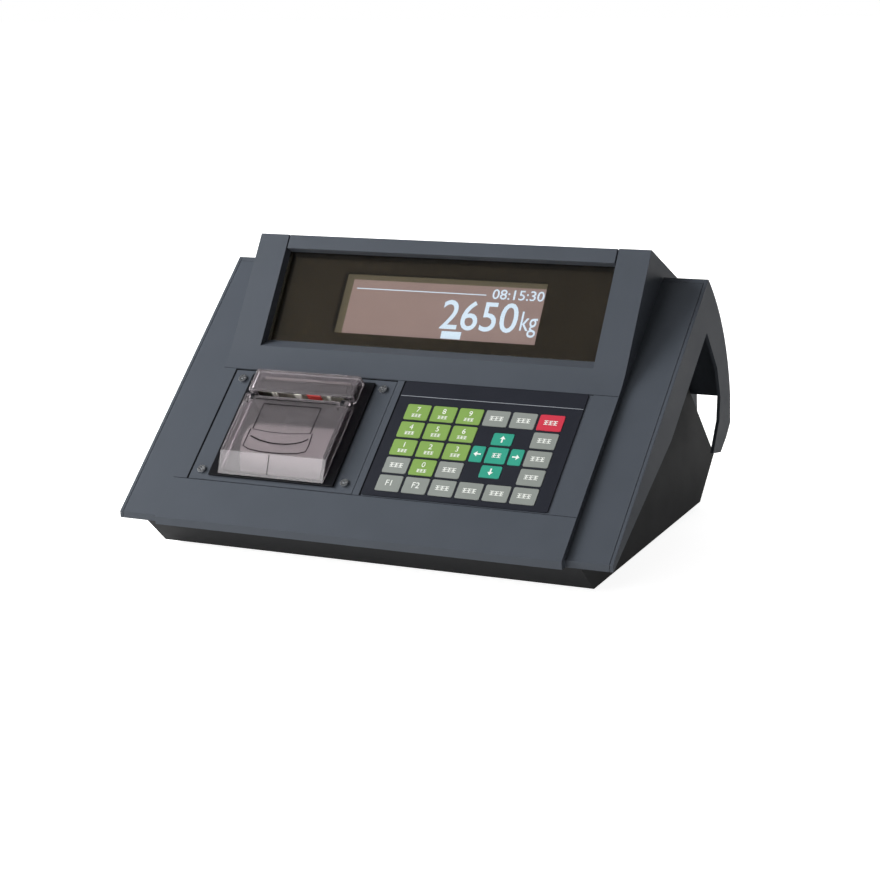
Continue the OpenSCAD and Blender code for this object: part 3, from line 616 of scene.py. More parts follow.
class Finishes:
    """Every finish of the indicator. A comment says what the material gives the eye."""

    # Spark-textured ABS in slate grey: matt, with a grain drawn a little coarser than it is
    SHELL = Finish("abs_slate_spark_textured", "#43484f", "#494e56", Slot.SHELL,
                   roughness=0.52, grain=0.55, relief=0.05, shine=0.3)
    # The same plastic for the tray, smoother: partly its own dark colour, partly painted shade,
    # made near black for the deep shade on the tray's lower front
    TRAY = Finish("abs_black_textured_and_painted_shade", "#0f1012", "#151619",
                  roughness=0.55, grain=0.5, relief=0.04, shine=0.16)
    # Polyester film of the keypad: flat, satin, faintly clouded
    FILM = Finish("polyester_film_navy_black", "#1f2128", "#24262e",
                  roughness=0.42, grain=0.35, relief=0.012, shine=0.3)
    # Printed key tops under the film: satin with a soft orange peel
    KEY_GREEN = KeyTop("polyester_film_leaf_green", "#76964b", "#7f9f54")
    KEY_GREY = KeyTop("polyester_film_stone_grey", "#7f8480", "#888d88")
    KEY_TEAL = KeyTop("polyester_film_teal", "#2c8f79", "#359882")
    KEY_RED = KeyTop("polyester_film_signal_red", "#bd3144", "#c63b4c")
    # White screen ink: flat and chalky
    INK = Finish("screen_ink_white", "#e9ebe6", "#dfe2dd",
                 roughness=0.6, grain=0.2, relief=0.006, cloud=4.0)
    # Pale grey screen ink of the keypad's thin line: as flat, but fainter
    LINE_INK = Finish("screen_ink_pale_grey", "#8d9298", "#969ba1",
                      roughness=0.6, grain=0.2, relief=0.006, cloud=4.0)
    # Cast acrylic, smoke tinted: glossy, with the display seen darkly through it
    WINDOW = Clear("acrylic_cast_smoke", "#a59c8c", "#a89f8f", Slot.WINDOW,
                   roughness=0.04, grain=9.0, relief=0.001, ior=1.49)
    # Back print of the window: olive black ink, a little green
    MASK = Finish("screen_ink_olive_black", "#28251c", "#2d2920", Slot.WINDOW,
                  roughness=0.45, grain=0.3, relief=0.001)
    # Injection moulded polycarbonate, smoke mauve: glossy, with soft flow marks
    LID = Clear("polycarbonate_moulded_smoke", "#c9c1c6", "#bdb5ba", Slot.WINDOW,
                roughness=0.17, grain=5.0, relief=0.02, ior=1.58, passing=0.93)
    # Painted shade of the lid's moulded steps: thin near-black lines that stand for the shade at
    # each step in the smoke plastic
    LID_STEP_SHADE = Finish("lid_step_painted_shade", "#100e11", "#151216", Slot.WINDOW,
                      roughness=0.4, grain=0.6, relief=0.01, shine=0.3)
    # Well and rim of the printer, and the lid's shade liner: glossy black ABS, partly its own
    # black and partly painted shade, made near black so that the well reads as deep shade beside
    # and through the lid
    WELL_AND_SHADE = Finish("abs_black_glossy_and_painted_shade", "#0b0c0f", "#101116",
                  roughness=0.3, grain=0.6, relief=0.01, shine=0.3)
    # Painted shade in the seams of the panels: black, dull strips that stand for the shade in the
    # gaps
    SEAM_SHADE = Finish("seam_painted_shade_black", "#08090b", "#0c0d10",
                    roughness=0.9, grain=0.3, relief=0.03, shine=0.05)
    # Natural nylon of the paper guides: milky white
    GUIDE = Finish("nylon_natural_white", "#d8d5cc", "#e2dfd7",
                   roughness=0.4, grain=0.4, relief=0.01)
    # Acetal of the release lever: clear red, smooth
    LEVER = Finish("acetal_red", "#b8322f", "#c03b37",
                   roughness=0.35, grain=0.4, relief=0.01)
    # Display glass over its lit field: a dull brownish mauve
    FIELD = Glow("display_glass_lit_field", "#9a8d99", "#a294a1",
                 roughness=0.25, grain=0.53, relief=0.003, light=1.9)
    # Edge of the display glass that its lamp doesn't reach: duller
    FIELD_EDGE = Glow("display_glass_unlit_edge", "#85857c", "#8c8c83", Slot.WINDOW,
                      roughness=0.3, grain=0.53, relief=0.003, light=0.75)
    # Lit dots of the display: pale blue white
    DOTS = Glow("display_dots_pale_blue", "#b9d6ff", "#aecdfb", Slot.WINDOW,
                roughness=0.5, grain=0.53, relief=0.003, light=3.4)
    # Thermal paper: white, very slightly warm, matt, with faint fibre
    PAPER = Finish("thermal_paper_white", "#f0efea", "#e6e5df",
                   roughness=0.7, grain=0.25, relief=0.02, cloud=8.0)
    # Zinc plated steel of the screws: bright, with fine marks
    ZINC = Metal("steel_zinc_plated", "#c9cbcd", "#b9bcc0",
                 roughness=0.28, grain=0.12, relief=0.01, stretch=3.0, cloud=3.0)
    # Nickel plated steel of socket shells and of the print head: bright, a little warm
    NICKEL = Metal("steel_nickel_plated", "#b9b6ad", "#aaa79f",
                   roughness=0.3, grain=0.15, relief=0.01, cloud=5.0)
    # Gold flashed contacts: warm and bright
    GOLD = Metal("brass_gold_flashed", "#c9a45a", "#b8934b",
                 roughness=0.3, grain=0.1, relief=0.005, stretch=2.0, cloud=2.0)
    # Galvanised sheet of the socket panel and the power supply: dull, spangled
    SHEET = Metal("steel_galvanised_sheet", "#8e9194", "#7f8386",
                  roughness=0.42, grain=0.2, relief=0.015, stretch=20.0, cloud=6.0)
    # Glass filled nylon of inlet and switch: black, dull
    NYLON = Finish("nylon_black_moulded", "#17181a", "#1e1f22",
                   roughness=0.46, grain=0.3, relief=0.02)
    # Nitrile rubber of feed roller and feet: near black, very matt
    RUBBER = Finish("nitrile_rubber_black", "#151515", "#1d1c1b",
                    roughness=0.82, grain=0.3, relief=0.03)
    # Polyester snap domes: milky and smooth
    DOMES = Finish("polyester_dome_sheet_milky", "#c9c9c1", "#d2d2ca",
                   roughness=0.35, grain=0.5, relief=0.01)
    # Glass epoxy board under solder mask: green, with darker tracks
    BOARD = Laminate("glass_epoxy_green_mask", "#1c5a3c", "#2c7550",
                     roughness=0.35, grain=0.4, relief=0.02)


@dataclass(frozen=True)
class Moulding:
    """A CAD node's finish, and the width and the steps of its edges' rounding."""

    # Edges that turn by more degrees are rounded, and faces that turn by less are one face
    EDGE = 22.0
    FLAT = 0.4
    # Points that lie closer are one point
    WELD = 0.002

    node: str
    finish: Finish
    rounding: float
    steps: int = 2

    def build(self) -> None:
        """Makes a copy of the node with rounded edges, which stands for it on its body."""
        source = frame["nodes"][self.node]
        body = body_of(source)[0]
        piece = bpy.data.objects.new(f"{self.node}_dressed", source.data.copy())
        bpy.context.scene.collection.objects.link(piece)
        Bench.take(piece)
        bpy.ops.object.mode_set(mode="EDIT")
        bpy.ops.mesh.select_all(action="SELECT")
        bpy.ops.mesh.remove_doubles(threshold=self.WELD * MM)
        bpy.ops.mesh.dissolve_limited(angle_limit=radians(self.FLAT))
        bpy.ops.object.mode_set(mode="OBJECT")
        Bench.bevel(piece, self.rounding * MM, self.steps, self.EDGE)
        Bench.dress(piece, body, self.finish, self.node)


@dataclass
class Assembly:
    """A sub-assembly, whose CAD nodes are dressed first."""

    mouldings: tuple[Moulding, ...] = ()

    def build(self) -> None:
        """Dresses the CAD nodes."""
        for moulding in self.mouldings:
            moulding.build()


@dataclass
class CaseDress(Assembly):
    """The mouldings of the case: shell, side frames, cap, panel, tray, feet and screws."""

    mouldings: tuple[Moulding, ...] = (
        Moulding("top_shell", Finishes.SHELL, 0.9, steps=3),
        Moulding("side_frame_right", Finishes.SHELL, 0.5),
        Moulding("side_frame_left", Finishes.SHELL, 0.5),
        Moulding("hood_visor", Finishes.SHELL, 0.5),
        Moulding("insert_panel", Finishes.SHELL, 0.3),
        Moulding("base_tray", Finishes.TRAY, 0.5),
        Moulding("rubber_feet", Finishes.RUBBER, 0.5),
        Moulding("case_screws", Finishes.ZINC, 0.15),
    )


@dataclass
class DisplayDress(Assembly):
    """The display behind its tinted window, with plain digits on it."""

    mouldings: tuple[Moulding, ...] = (
        Moulding("display_window", Finishes.WINDOW, 0.25),
        Moulding("lcd_bezel", Finishes.NYLON, 0.15),
        Moulding("lcd_glass", Finishes.FIELD, 0.15),
        Moulding("lcd_board", Finishes.BOARD, 0.15),
    )
    window_under: float = -8.5
    mask_gap: float = 0.02
    mask_t: float = 0.1
    mask_low: Point = (-106.0, 14.2)
    mask_high: Point = (106.0, 75.6)
    # The clear place in the print, and how far the cutting tool stands out of the print
    clear_low: Point = (-66.8, 21.8)
    clear_high: Point = (65.3, 60.8)
    overrun: float = 1.0
    # Along the left and the top of the lit field, and on under the print
    edge_outline: tuple[Point, ...] = (
        (-69.8, 18.8), (-61.8, 18.8), (-61.8, 57.6), (66.3, 57.6), (66.3, 62.8), (-69.8, 62.8))
    edge_round: float = 0.02
    glass_top: float = -12.15
    dot: float = 0.12
    dot_round: float = 0.05
    writings: tuple[Writing, ...] = (
        Writing("display_digits", "2650", 26.0, (25.4, 37.6), narrow=0.96, bold=0.1),
        Writing("display_unit", "kg", 17.16, (56.8, 36.6), narrow=0.72),
        Writing("display_clock", "08:15:30", 8.6, (46.8, 52.6), narrow=1.12, bold=0.04),
    )
    blocks: tuple[tuple[str, Point, Point], ...] = (
        ("display_line", (-58.6, 51.8), (26.5, 52.3)),
        ("display_tag", (3.6, 23.6), (16.2, 28.2)),
    )

    def build(self) -> None:
        """Dresses the CAD nodes and builds the window's print and what the display shows."""
        super().build()
        self.mask()
        self.figures()
        self.unlit_edge()

    def mask(self) -> None:
        """The dark print on the window's back, open over the display."""
        base = self.window_under - self.mask_gap - self.mask_t
        piece = Bench.box("window_mask", self.mask_low, self.mask_high, base, self.mask_t)
        tool = Bench.box("mask_tool", self.clear_low, self.clear_high,
                         base - self.overrun, 2 * self.overrun)
        Bench.cut(piece, tool)
        Bench.settle(piece, FACE, Finishes.MASK)

    def figures(self) -> None:
        """Digits, unit, clock, line and tag as lit dots on the glass."""
        for writing in self.writings:
            Bench.settle(Bench.words(writing, self.glass_top, self.dot), FACE, Finishes.DOTS)
        for name, low, high in self.blocks:
            piece = Bench.box(name, low, high, self.glass_top, self.dot)
            Bench.settle(piece, FACE, Finishes.DOTS, self.dot_round)

    def unlit_edge(self) -> None:
        """The duller strip along the left and the top of the lit field."""
        edge = Bench.plate("display_unlit_edge", self.edge_outline, self.glass_top, self.dot / 2)
        Bench.settle(edge, FACE, Finishes.FIELD_EDGE, self.edge_round)


class Legend(Enum):
    """The kinds of mark on a key."""

    NUMBER = "number"
    LETTERS = "letters"
    ARROW = "arrow"
    BARS = "bars"


@dataclass(frozen=True)
class Key:
    """One key: its node, its colour and what is printed on it."""

    node: str
    kind: Legend = Legend.BARS
    text: str = ""
    finish: Finish = Finishes.KEY_GREY
    turn: float = 0.0
    cells: int = 3


@dataclass
class KeypadDress(Assembly):
    """The printed keypad: film, key tops, header line and white marks."""

    mouldings: tuple[Moulding, ...] = (
        Moulding("keypad_overlay", Finishes.FILM, 0.12),
        Moulding("dome_sheet", Finishes.DOMES, 0.1),
        Moulding("key_board", Finishes.BOARD, 0.1),
    )
    key_round: float = 0.25
    key_top: float = 4.15
    ink: float = 0.05
    ink_gap: float = 0.005
    digit_height: float = 4.8
    digit_lift: float = 1.7
    letter_height: float = 5.4
    letter_narrow: float = 0.95
    # A key's small strokes stand in cells; under a digit they are smaller
    cell: Point = (2.4, 2.9)
    cell_gap: float = 0.4
    stroke: float = 0.22
    small_share: float = 0.72
    small_drop: float = 2.295
    arrow_half: Point = (1.7, 2.2)
    arrow_neck: float = 0.2
    shaft_half: float = 0.45
    line_low: Point = (-3.3, 93.9)
    line_high: Point = (109.3, 94.25)
    line_base: float = 3.9
    line_round: float = 0.02
    keys: tuple[Key, ...] = (
        Key("key_a1", Legend.LETTERS, "F1"),
        Key("key_a2", Legend.LETTERS, "F2"),
        *(Key(f"key_{place}", Legend.NUMBER, text, Finishes.KEY_GREEN) for place, text in (
            ("b2", "0"), ("c1", "1"), ("c2", "2"), ("c3", "3"), ("d1", "4"),
            ("d2", "5"), ("d3", "6"), ("e1", "7"), ("e2", "8"), ("e3", "9"))),
        *(Key(f"key_{place}") for place in (
            "a3", "a4", "a5", "a6", "b1", "b3", "b6", "c6", "d6", "e4", "e5")),
        Key("key_e6", finish=Finishes.KEY_RED),
        Key("key_left", Legend.ARROW, finish=Finishes.KEY_TEAL, turn=90.0),
        Key("key_right", Legend.ARROW, finish=Finishes.KEY_TEAL, turn=-90.0),
        Key("key_up", Legend.ARROW, finish=Finishes.KEY_TEAL),
        Key("key_down", Legend.ARROW, finish=Finishes.KEY_TEAL, turn=180.0),
        Key("key_enter", finish=Finishes.KEY_TEAL, cells=2),
    )

    def build(self) -> None:
        """Dresses the CAD nodes and builds the line and the marks."""
        super().build()
        self.header_line()
        for key in self.keys:
            Moulding(key.node, key.finish, self.key_round).build()
            self.legend(key)

    def header_line(self) -> None:
        """The thin light line under the bare header strip."""
        piece = Bench.box("keypad_line", self.line_low, self.line_high, self.line_base, self.ink)
        Bench.settle(piece, DECK, Finishes.LINE_INK, self.line_round)

    def legend(self, key: Key) -> None:
        """Prints one key's mark a hair above its top, riding on the key.

        Args:
            key: The key.
        """
        name = f"{key.node}_mark"
        x, u = self.middle(key.node)
        base = self.key_top + self.ink_gap
        if key.kind is Legend.NUMBER:
            digit = Writing(name, key.text, self.digit_height, (x, u + self.digit_lift))
            piece = Bench.join(name, [
                Bench.words(digit, base, self.ink),
                self.bars(name, (x, u - self.small_drop), base, key.cells, self.small_share)])
        elif key.kind is Legend.LETTERS:
            letters = Writing(name, key.text, self.letter_height, (x, u), self.letter_narrow)
            piece = Bench.words(letters, base, self.ink)
        elif key.kind is Legend.ARROW:
            piece = self.arrow(name, (x, u), base, key.turn)
        else:
            piece = self.bars(name, (x, u), base, key.cells)
        Bench.settle(piece, DECK, Finishes.INK, body=key.node)

    def middle(self, node: str) -> Point:
        """The middle of a key on the deck, as x and u."""
        x, y, z = ((a + b) / 2 / MM for a, b in zip(*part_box(node)))
        return x, DECK.along(y, z)

    def arrow(self, name: str, middle: Point, base: float, turn: float) -> Piece:
        """A plain arrow.

        Args:
            name: The piece's name.
            middle: Its middle.
            base: The height of its underside.
            turn: Its turn in degrees from straight up.

        Returns:
            The arrow.
        """
        (wide, tip), neck, shaft = self.arrow_half, self.arrow_neck, self.shaft_half
        outline = [(0, tip), (wide, neck), (shaft, neck), (shaft, -tip), (-shaft, -tip),
                   (-shaft, neck), (-wide, neck)]
        (x, u), a = middle, radians(turn)
        placed = [(x + p * cos(a) - q * sin(a), u + p * sin(a) + q * cos(a)) for p, q in outline]
        return Bench.plate(name, placed, base, self.ink)

    def bars(self, name: str, middle: Point, base: float, cells: int,
             size: float = 1.0) -> Piece:
        """A generic mark: a row of cells, each of three strokes on a stem.

        Args:
            name: The piece's name.
            middle: The middle of the row.
            base: The height of its underside.
            cells: How many cells there are.
            size: A share of the cells' usual size.

        Returns:
            The mark.
        """
        half_w, half_h = self.cell[0] * size / 2, self.cell[1] * size / 2
        step = 2 * half_w + self.cell_gap * size
        stroke = self.stroke * size
        x, u = middle
        parts = []
        for i in range(cells):
            at = x + (i - (cells - 1) / 2) * step
            boxes = [((at - half_w, u + v - stroke), (at + half_w, u + v + stroke))
                     for v in (stroke - half_h, 0.0, half_h - stroke)]
            boxes.append(((at - 2 * stroke, u - half_h), (at + stroke, u + half_h)))
            parts += [Bench.box(name, low, high, base, self.ink) for low, high in boxes]
        return Bench.join(name, parts)


@dataclass(frozen=True)
class LidLine:
    """One moulded step of the lid, as a near-black line of painted shade, drawn from the lid's
    middle line and up the deck.
    """

    name: str
    width: float
    points: tuple[Point, ...]


@dataclass
class PrinterDress(Assembly):
    """The panel printer: plate, well, roll, paper, lid and rear cover."""

    mouldings: tuple[Moulding, ...] = (
        Moulding("printer_plate", Finishes.SHELL, 0.25),
        Moulding("printer_bucket", Finishes.WELL_AND_SHADE, 0.25),
        Moulding("printer_screws", Finishes.ZINC, 0.15),
        Moulding("paper_spindle", Finishes.NYLON, 0.15),
        Moulding("paper_roll", Finishes.PAPER, 0.2),
        Moulding("platen_roller", Finishes.RUBBER, 0.2),
        Moulding("print_head", Finishes.NICKEL, 0.08),
        Moulding("printer_door", Finishes.LID, 0.7, steps=3),
        Moulding("printer_rear_cover", Finishes.LID, 0.7, steps=3),
    )
    lid_x: float = -63.7
    lid_top: float = 11.8
    # The lid's lines stand out by the ridge, and reach a little into the plastic
    ridge: float = 0.12
    sunk: float = 0.1
    line_round: float = 0.05
    hinge_dots: tuple[tuple[str, float], ...] = (("lid_dot_left", -30.4), ("lid_dot_right", 29.7))
    hinge_dot_u: float = 75.6
    hinge_dot_r: float = 0.55
    hinge_dot_sides: int = 16
    # The lid's front slope: where it starts on the deck, and how far it turns from it
    front: Plane = DECK.raised(along=29.1, height=5.1, turn=29.18)
    front_line: tuple[Point, Point] = ((-1.5, 1.6), (-1.5, 13.0))
    front_line_w: float = 0.5
    # The lid's back edge swings up to just before the slot's front; the tear bar closes the slot
    slot_u: float = 83.6
    bar_u: float = 84.15
    fitting_base: float = 7.0
    # Where each paper guide starts, and how wide it is
    guides_x: tuple[Point, ...] = ((-81.6, 1.2), (-79.4, 1.2), (-66.5, 4.6), (-44.6, 2.2))
    guide_height: float = 4.2
    guide_round: float = 0.12
    lever_x: Point = (-58.0, -49.0)
    lever_height: float = 4.3
    lever_round: float = 0.15
    lever_steps: int = 3
    # The shade liner's outline, as u and the height, and its place and thickness in x: a black
    # sheet of painted shade inside the lid's right flank
    liner_outline: tuple[Point, ...] = (
        (33.0, 4.9), (77.0, 4.9), (77.0, 9.9), (43.5, 9.9), (36.0, 6.2))
    liner_x: float = -31.6
    liner_t: float = 1.4
    liner_round: float = 0.2
    # Black strips of painted shade in the seams: their top, thickness and rounding, and their
    # outlines
    seam_shade_top: float = 3.34
    seam_shade_t: float = 1.24
    seam_shade_round: float = 0.06
    plate_seam: tuple[Point, ...] = (
        (-117.8, 25.0), (-116.55, 25.0), (-116.55, 103.55), (-9.1, 103.55), (-9.1, 104.4),
        (-117.8, 104.4))
    sheet_seam: tuple[Point, ...] = (
        (-4.9, 25.1), (-3.45, 25.1), (-3.45, 104.15), (112.0, 104.15), (112.0, 104.55),
        (-4.9, 104.55))
    lid_lines: tuple[LidLine, ...] = (
        LidLine("lid_frame", 0.8, ((-19.1, 57.4), (-19.1, 75.2), (18.9, 75.2), (18.9, 57.4))),
        LidLine("lid_grip", 0.65, (
            (-20.4, 57.2), (-20.7, 45.2), (-16.0, 43.1), (-8.0, 42.1), (0.0, 41.9),
            (8.0, 42.1), (16.0, 43.0), (20.7, 44.8), (21.1, 49.0), (20.3, 57.2))),
        LidLine("lid_smile", 0.85, (
            (-18.6, 52.3), (-12.0, 49.9), (-5.0, 48.6), (0.0, 48.3), (6.0, 48.5),
            (12.0, 49.6), (16.3, 51.2), (19.1, 53.3))),
        LidLine("lid_step", 0.35, ((-18.8, 57.1), (-7.5, 55.9), (5.4, 55.8), (19.0, 57.2))),
        LidLine("lid_groove", 0.7, ((-26.0, 78.4), (27.4, 78.4))),
    )

    def build(self) -> None:
        """Dresses the CAD nodes and builds the lid's lines of painted shade, guides, lever, a
        liner of painted shade and the seams' painted shade.
        """
        super().build()
        self.lid_marks()
        self.fittings()
        self.flank_shade_liner()
        self.seam_shades()

    def lid_marks(self) -> None:
        """Painted shade of the lid's moulded steps as near-black lines: frame, grip, hinge groove
        and dots, and its front's line.
        """
        base, height = self.lid_top - self.sunk, self.sunk + self.ridge
        for line in self.lid_lines:
            points = [(self.lid_x + x, u) for x, u in line.points]
            self.mark(Bench.ribbon(line.name, points, line.width, base, height), DECK)
        for name, x in self.hinge_dots:
            at = (self.lid_x + x, self.hinge_dot_u, base + height / 2)
            self.mark(Bench.rod(name, self.hinge_dot_r, height, at, self.hinge_dot_sides), DECK)
        points = [(self.lid_x + x, u) for x, u in self.front_line]
        line = Bench.ribbon("lid_front_line", points, self.front_line_w, -self.sunk, height)
        self.mark(line, self.front)

    def mark(self, piece: Piece, plane: Plane) -> None:
        """Puts one of the steps' lines of painted shade on the lid."""
        Bench.settle(piece, plane, Finishes.LID_STEP_SHADE, self.line_round, "printer_door")

    def fittings(self) -> None:
        """The paper guides and the red release lever, clipped on the front of the tear bar."""
        guides = Bench.join("paper_guides", [
            Bench.box("paper_guides", (x, self.slot_u), (x + wide, self.bar_u),
                      self.fitting_base, self.guide_height)
            for x, wide in self.guides_x])
        Bench.settle(guides, DECK, Finishes.GUIDE, self.guide_round)
        left, right = self.lever_x
        lever = Bench.box("release_lever", (left, self.slot_u), (right, self.bar_u),
                          self.fitting_base, self.lever_height)
        Bench.settle(lever, DECK, Finishes.LEVER, self.lever_round, steps=self.lever_steps)

    def flank_shade_liner(self) -> None:
        """A black sheet of painted shade just inside the lid's right flank, which darkens the
        flank.
        """
        piece = Bench.plate("flank_shade_liner", self.liner_outline, self.liner_x, self.liner_t)
        piece.rotation_euler = (pi / 2, 0.0, pi / 2)
        Bench.apply_place(piece)
        Bench.settle(piece, DECK, Finishes.WELL_AND_SHADE, self.liner_round)

    def seam_shades(self) -> None:
        """Black strips of painted shade in the seams beside the plate and the keypad sheet."""
        base = self.seam_shade_top - self.seam_shade_t
        for name, seam in (("plate_seam_shade", self.plate_seam), ("sheet_seam_shade", self.sheet_seam)):
            piece = Bench.plate(name, seam, base, self.seam_shade_t)
            Bench.settle(piece, DECK, Finishes.SEAM_SHADE, self.seam_shade_round)


@dataclass
class RearDress(Assembly):
    """The socket panel with its sockets, inlet and switch."""

    mouldings: tuple[Moulding, ...] = (
        Moulding("rear_panel", Finishes.SHEET, 0.2),
        Moulding("signal_sockets", Finishes.NICKEL, 0.2),
        Moulding("mains_inlet", Finishes.NYLON, 0.4),
        Moulding("switch_frame", Finishes.NYLON, 0.4),
        Moulding("switch_rocker", Finishes.NYLON, 0.4),
    )
    socket_xs: tuple[float, ...] = (10.0, 52.0, 88.0)
    upper_pins: tuple[int, ...] = (8, 5, 5)
    pin_pitch: float = 2.76
    pin_row: float = 1.42
    pin_r: float = 0.55
    pin_length: float = 0.35
    pin_middle: float = -5.8
    pin_sides: int = 10
    pin_round: float = 0.1
    # The face in a socket: how many pitches it is wider at the top and narrower below than
    # its upper row has contacts
    wider: float = 0.25
    narrower: float = 0.3
    face_half: float = 3.3
    face_base: float = -5.75
    face_t: float = 0.3
    face_round: float = 0.08
    switch_x: float = -38.0
    mark_base: float = -2.01
    mark_t: float = 0.05
    marks: tuple[Writing, ...] = (
        Writing("switch_mark_on", "I", 2.6, (0.0, 10.9)),
        Writing("switch_mark_off", "O", 2.6, (0.0, -10.9)),
    )

    def build(self) -> None:
        """Dresses the CAD nodes and builds the contacts and the switch's marks."""
        super().build()
        for number, (x, upper) in enumerate(zip(self.socket_xs, self.upper_pins), start=1):
            self.contacts(number, x, upper)
        self.switch_marks()

    def contacts(self, number: int, x: float, upper: int) -> None:
        """The black face of one socket and its two rows of contacts.

        Args:
            number: The socket's number.
            x: The socket's middle.
            upper: How many contacts its upper row has; the lower row has one less.
        """
        wide = (upper + self.wider) * self.pin_pitch / 2
        narrow = (upper - self.narrower) * self.pin_pitch / 2
        half = self.face_half
        outline = [(x - wide, half), (x + wide, half), (x + narrow, -half), (x - narrow, -half)]
        face = Bench.plate(f"socket_face_{number}", outline, self.face_base, self.face_t)
        Bench.settle(face, REAR, Finishes.NYLON, self.face_round)
        name, pins = f"socket_pins_{number}", []
        for row, count in ((self.pin_row, upper), (-self.pin_row, upper - 1)):
            for i in range(count):
                at = (x + (i - (count - 1) / 2) * self.pin_pitch, row, self.pin_middle)
                pins.append(Bench.rod(name, self.pin_r, self.pin_length, at, self.pin_sides))
        Bench.settle(Bench.join(name, pins), REAR, Finishes.GOLD, self.pin_round)

    def switch_marks(self) -> None:
        """The marks for on and off, turned to be read from behind."""
        for mark in self.marks:
            piece = Bench.words(mark, 0.0, self.mark_t)
            piece.rotation_euler = (0.0, pi, 0.0)
            piece.location = (self.switch_x, 0.0, self.mark_base)
            Bench.apply_place(piece)
            Bench.settle(piece, REAR, Finishes.INK)


@dataclass
class InsideDress(Assembly):
    """The board and the power supply inside the tray."""

    mouldings: tuple[Moulding, ...] = (
        Moulding("main_board", Finishes.BOARD, 0.15),
        Moulding("power_supply", Finishes.SHEET, 0.4),
    )


@dataclass(frozen=True)
class Lamp:
    """One soft lamp. One that isn't mirrored leaves no glare on glossy faces."""

    name: str
    place: Vec3
    power: float
    size: float = 1.2
    mirrored: bool = True

    def build(self, aim: Vec3) -> None:
        """Hangs the lamp.

        Args:
            aim: The point that it is turned to.
        """
        Bench.deselect()
        bpy.ops.object.light_add(type="AREA", location=self.place)
        lamp = bpy.context.object
        lamp.name = self.name
        lamp.data.size = self.size
        lamp.data.energy = self.power
        lamp.visible_glossy = self.mirrored
        along = Vector(aim) - Vector(self.place)
        lamp.rotation_euler = along.to_track_quat("-Z", "Y").to_euler()


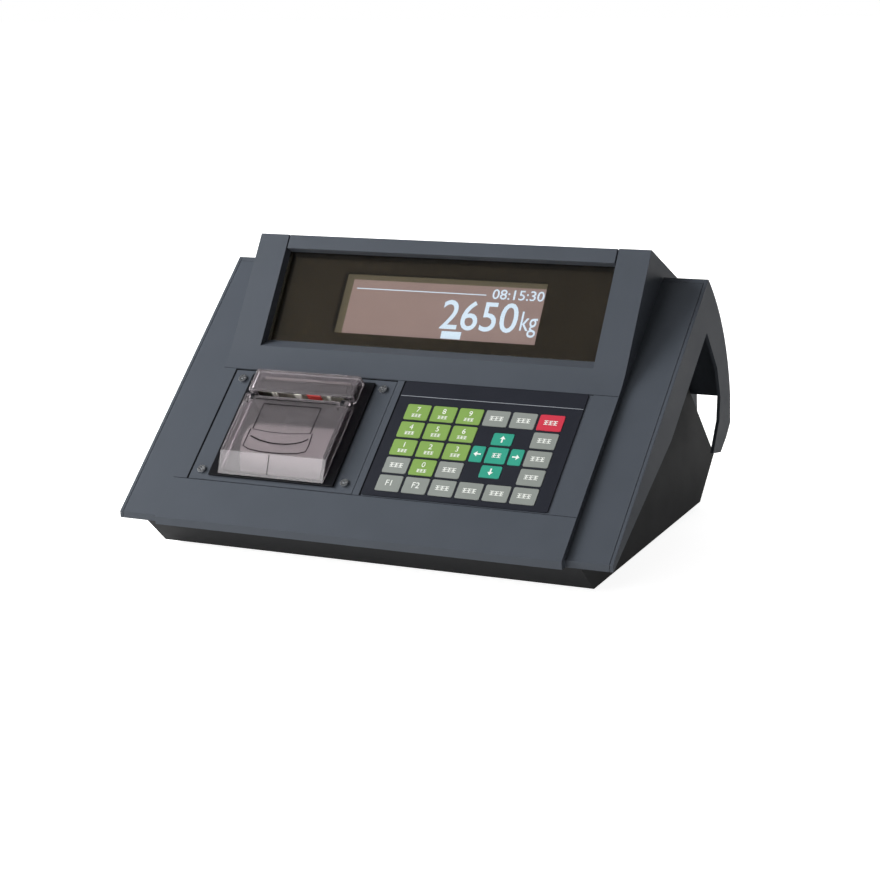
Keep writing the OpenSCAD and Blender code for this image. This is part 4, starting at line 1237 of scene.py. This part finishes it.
@dataclass
class Studio:
    """Floor, lamps, background and camera, in metres."""

    floor_size: float = 6.0
    floor_colour: str = "#d8d8d8"
    white: str = "#ffffff"
    # Light that the floor adds for rays that see it, and the share of it that reflections get
    floor_lift: float = 0.9
    mirrored_share: float = 0.4
    ambient: float = 0.13
    aim: Vec3 = (0.0, 0.0, 0.08)
    camera_place: Vec3 = (0.5807, -1.10915, 0.4017)
    camera_right: Vec3 = (0.8929, 0.4475, -0.0497)
    camera_up: Vec3 = (-0.0781, 0.2626, 0.9617)
    camera_back: Vec3 = (0.4435, -0.8548, 0.2695)
    lens: float = 91.19
    sensor: float = 36.0
    lamps: tuple[Lamp, ...] = (
        Lamp("key_lamp", (-1.8, -0.45, 1.25), 74.0, mirrored=False),
        Lamp("key_glint", (-1.85, -0.4, 1.15), 10.0),
        Lamp("front_lamp", (-0.9, -2.1, 0.8), 19.0),
        Lamp("back_lamp", (-0.2, 1.6, 1.5), 9.0),
    )

    def build(self) -> None:
        """Builds the whole studio."""
        self.floor()
        self.background()
        for lamp in self.lamps:
            lamp.build(self.aim)
        self.camera()

    def floor(self) -> None:
        """A pale floor that is white to the camera but keeps the object's shadow."""
        Bench.deselect()
        bpy.ops.mesh.primitive_plane_add(size=self.floor_size, location=(0.0, 0.0, 0.0))
        plane = bpy.context.object
        plane.name = "floor"
        material = bpy.data.materials.new("studio_floor_pale")
        material.use_nodes = True
        tree = material.node_tree
        tree.nodes.clear()
        rays = add_node(tree, "ShaderNodeLightPath").outputs
        seen = add_node(tree, "ShaderNodeMath", links={
            0: rays["Is Camera Ray"], 1: rays["Is Transmission Ray"]}, operation="MAXIMUM")
        reflected = add_node(tree, "ShaderNodeMath", {1: self.mirrored_share},
                             {0: rays["Is Glossy Ray"]}, operation="MULTIPLY")
        share = add_node(tree, "ShaderNodeMath", links={
            0: seen.outputs[0], 1: reflected.outputs[0]}, operation="MAXIMUM")
        lift = add_node(tree, "ShaderNodeMath", {1: self.floor_lift}, {0: share.outputs[0]},
                        operation="MULTIPLY")
        matt = add_node(tree, "ShaderNodeBsdfDiffuse", {"Color": linear(self.floor_colour)})
        glow = add_node(tree, "ShaderNodeEmission", {"Color": linear(self.white)},
                        {"Strength": lift.outputs[0]})
        both = add_node(tree, "ShaderNodeAddShader", links={
            0: matt.outputs[0], 1: glow.outputs[0]})
        add_node(tree, "ShaderNodeOutputMaterial", links={"Surface": both.outputs[0]})
        plane.data.materials.append(material)

    def background(self) -> None:
        """White behind the object, and an even dim light from all round."""
        world = bpy.data.worlds.new("studio")
        bpy.context.scene.world = world
        world.use_nodes = True
        tree = world.node_tree
        tree.nodes.clear()
        rays = add_node(tree, "ShaderNodeLightPath").outputs
        seen = add_node(tree, "ShaderNodeMath", links={
            0: rays["Is Camera Ray"], 1: rays["Is Transmission Ray"]}, operation="MAXIMUM")
        power = add_node(tree, "ShaderNodeMapRange", {"To Min": self.ambient, "To Max": 1.0},
                         {"Value": seen.outputs[0]})
        glow = add_node(tree, "ShaderNodeBackground", {"Color": linear(self.white)},
                        {"Strength": power.outputs["Result"]})
        add_node(tree, "ShaderNodeOutputWorld", links={"Surface": glow.outputs[0]})

    def camera(self) -> None:
        """The camera at the photograph's place and angle."""
        data = bpy.data.cameras.new("camera")
        data.lens = self.lens
        data.sensor_width = self.sensor
        eye = bpy.data.objects.new("camera", data)
        bpy.context.scene.collection.objects.link(eye)
        turn = Matrix((self.camera_right, self.camera_up, self.camera_back)).transposed().to_4x4()
        eye.matrix_world = Matrix.Translation(self.camera_place) @ turn
        bpy.context.scene.camera = eye


def main() -> None:
    """Builds the studio and dresses each sub-assembly in turn."""
    logging.basicConfig(level=logging.INFO, format="%(name)s %(message)s")
    bpy.context.scene.view_settings.view_transform = "Standard"
    Studio().build()
    for assembly in (CaseDress(), DisplayDress(), KeypadDress(), PrinterDress(), RearDress(),
                     InsideDress()):
        LOG.info("building %s", type(assembly).__name__)
        assembly.build()


if __name__ == "__main__":
    main()
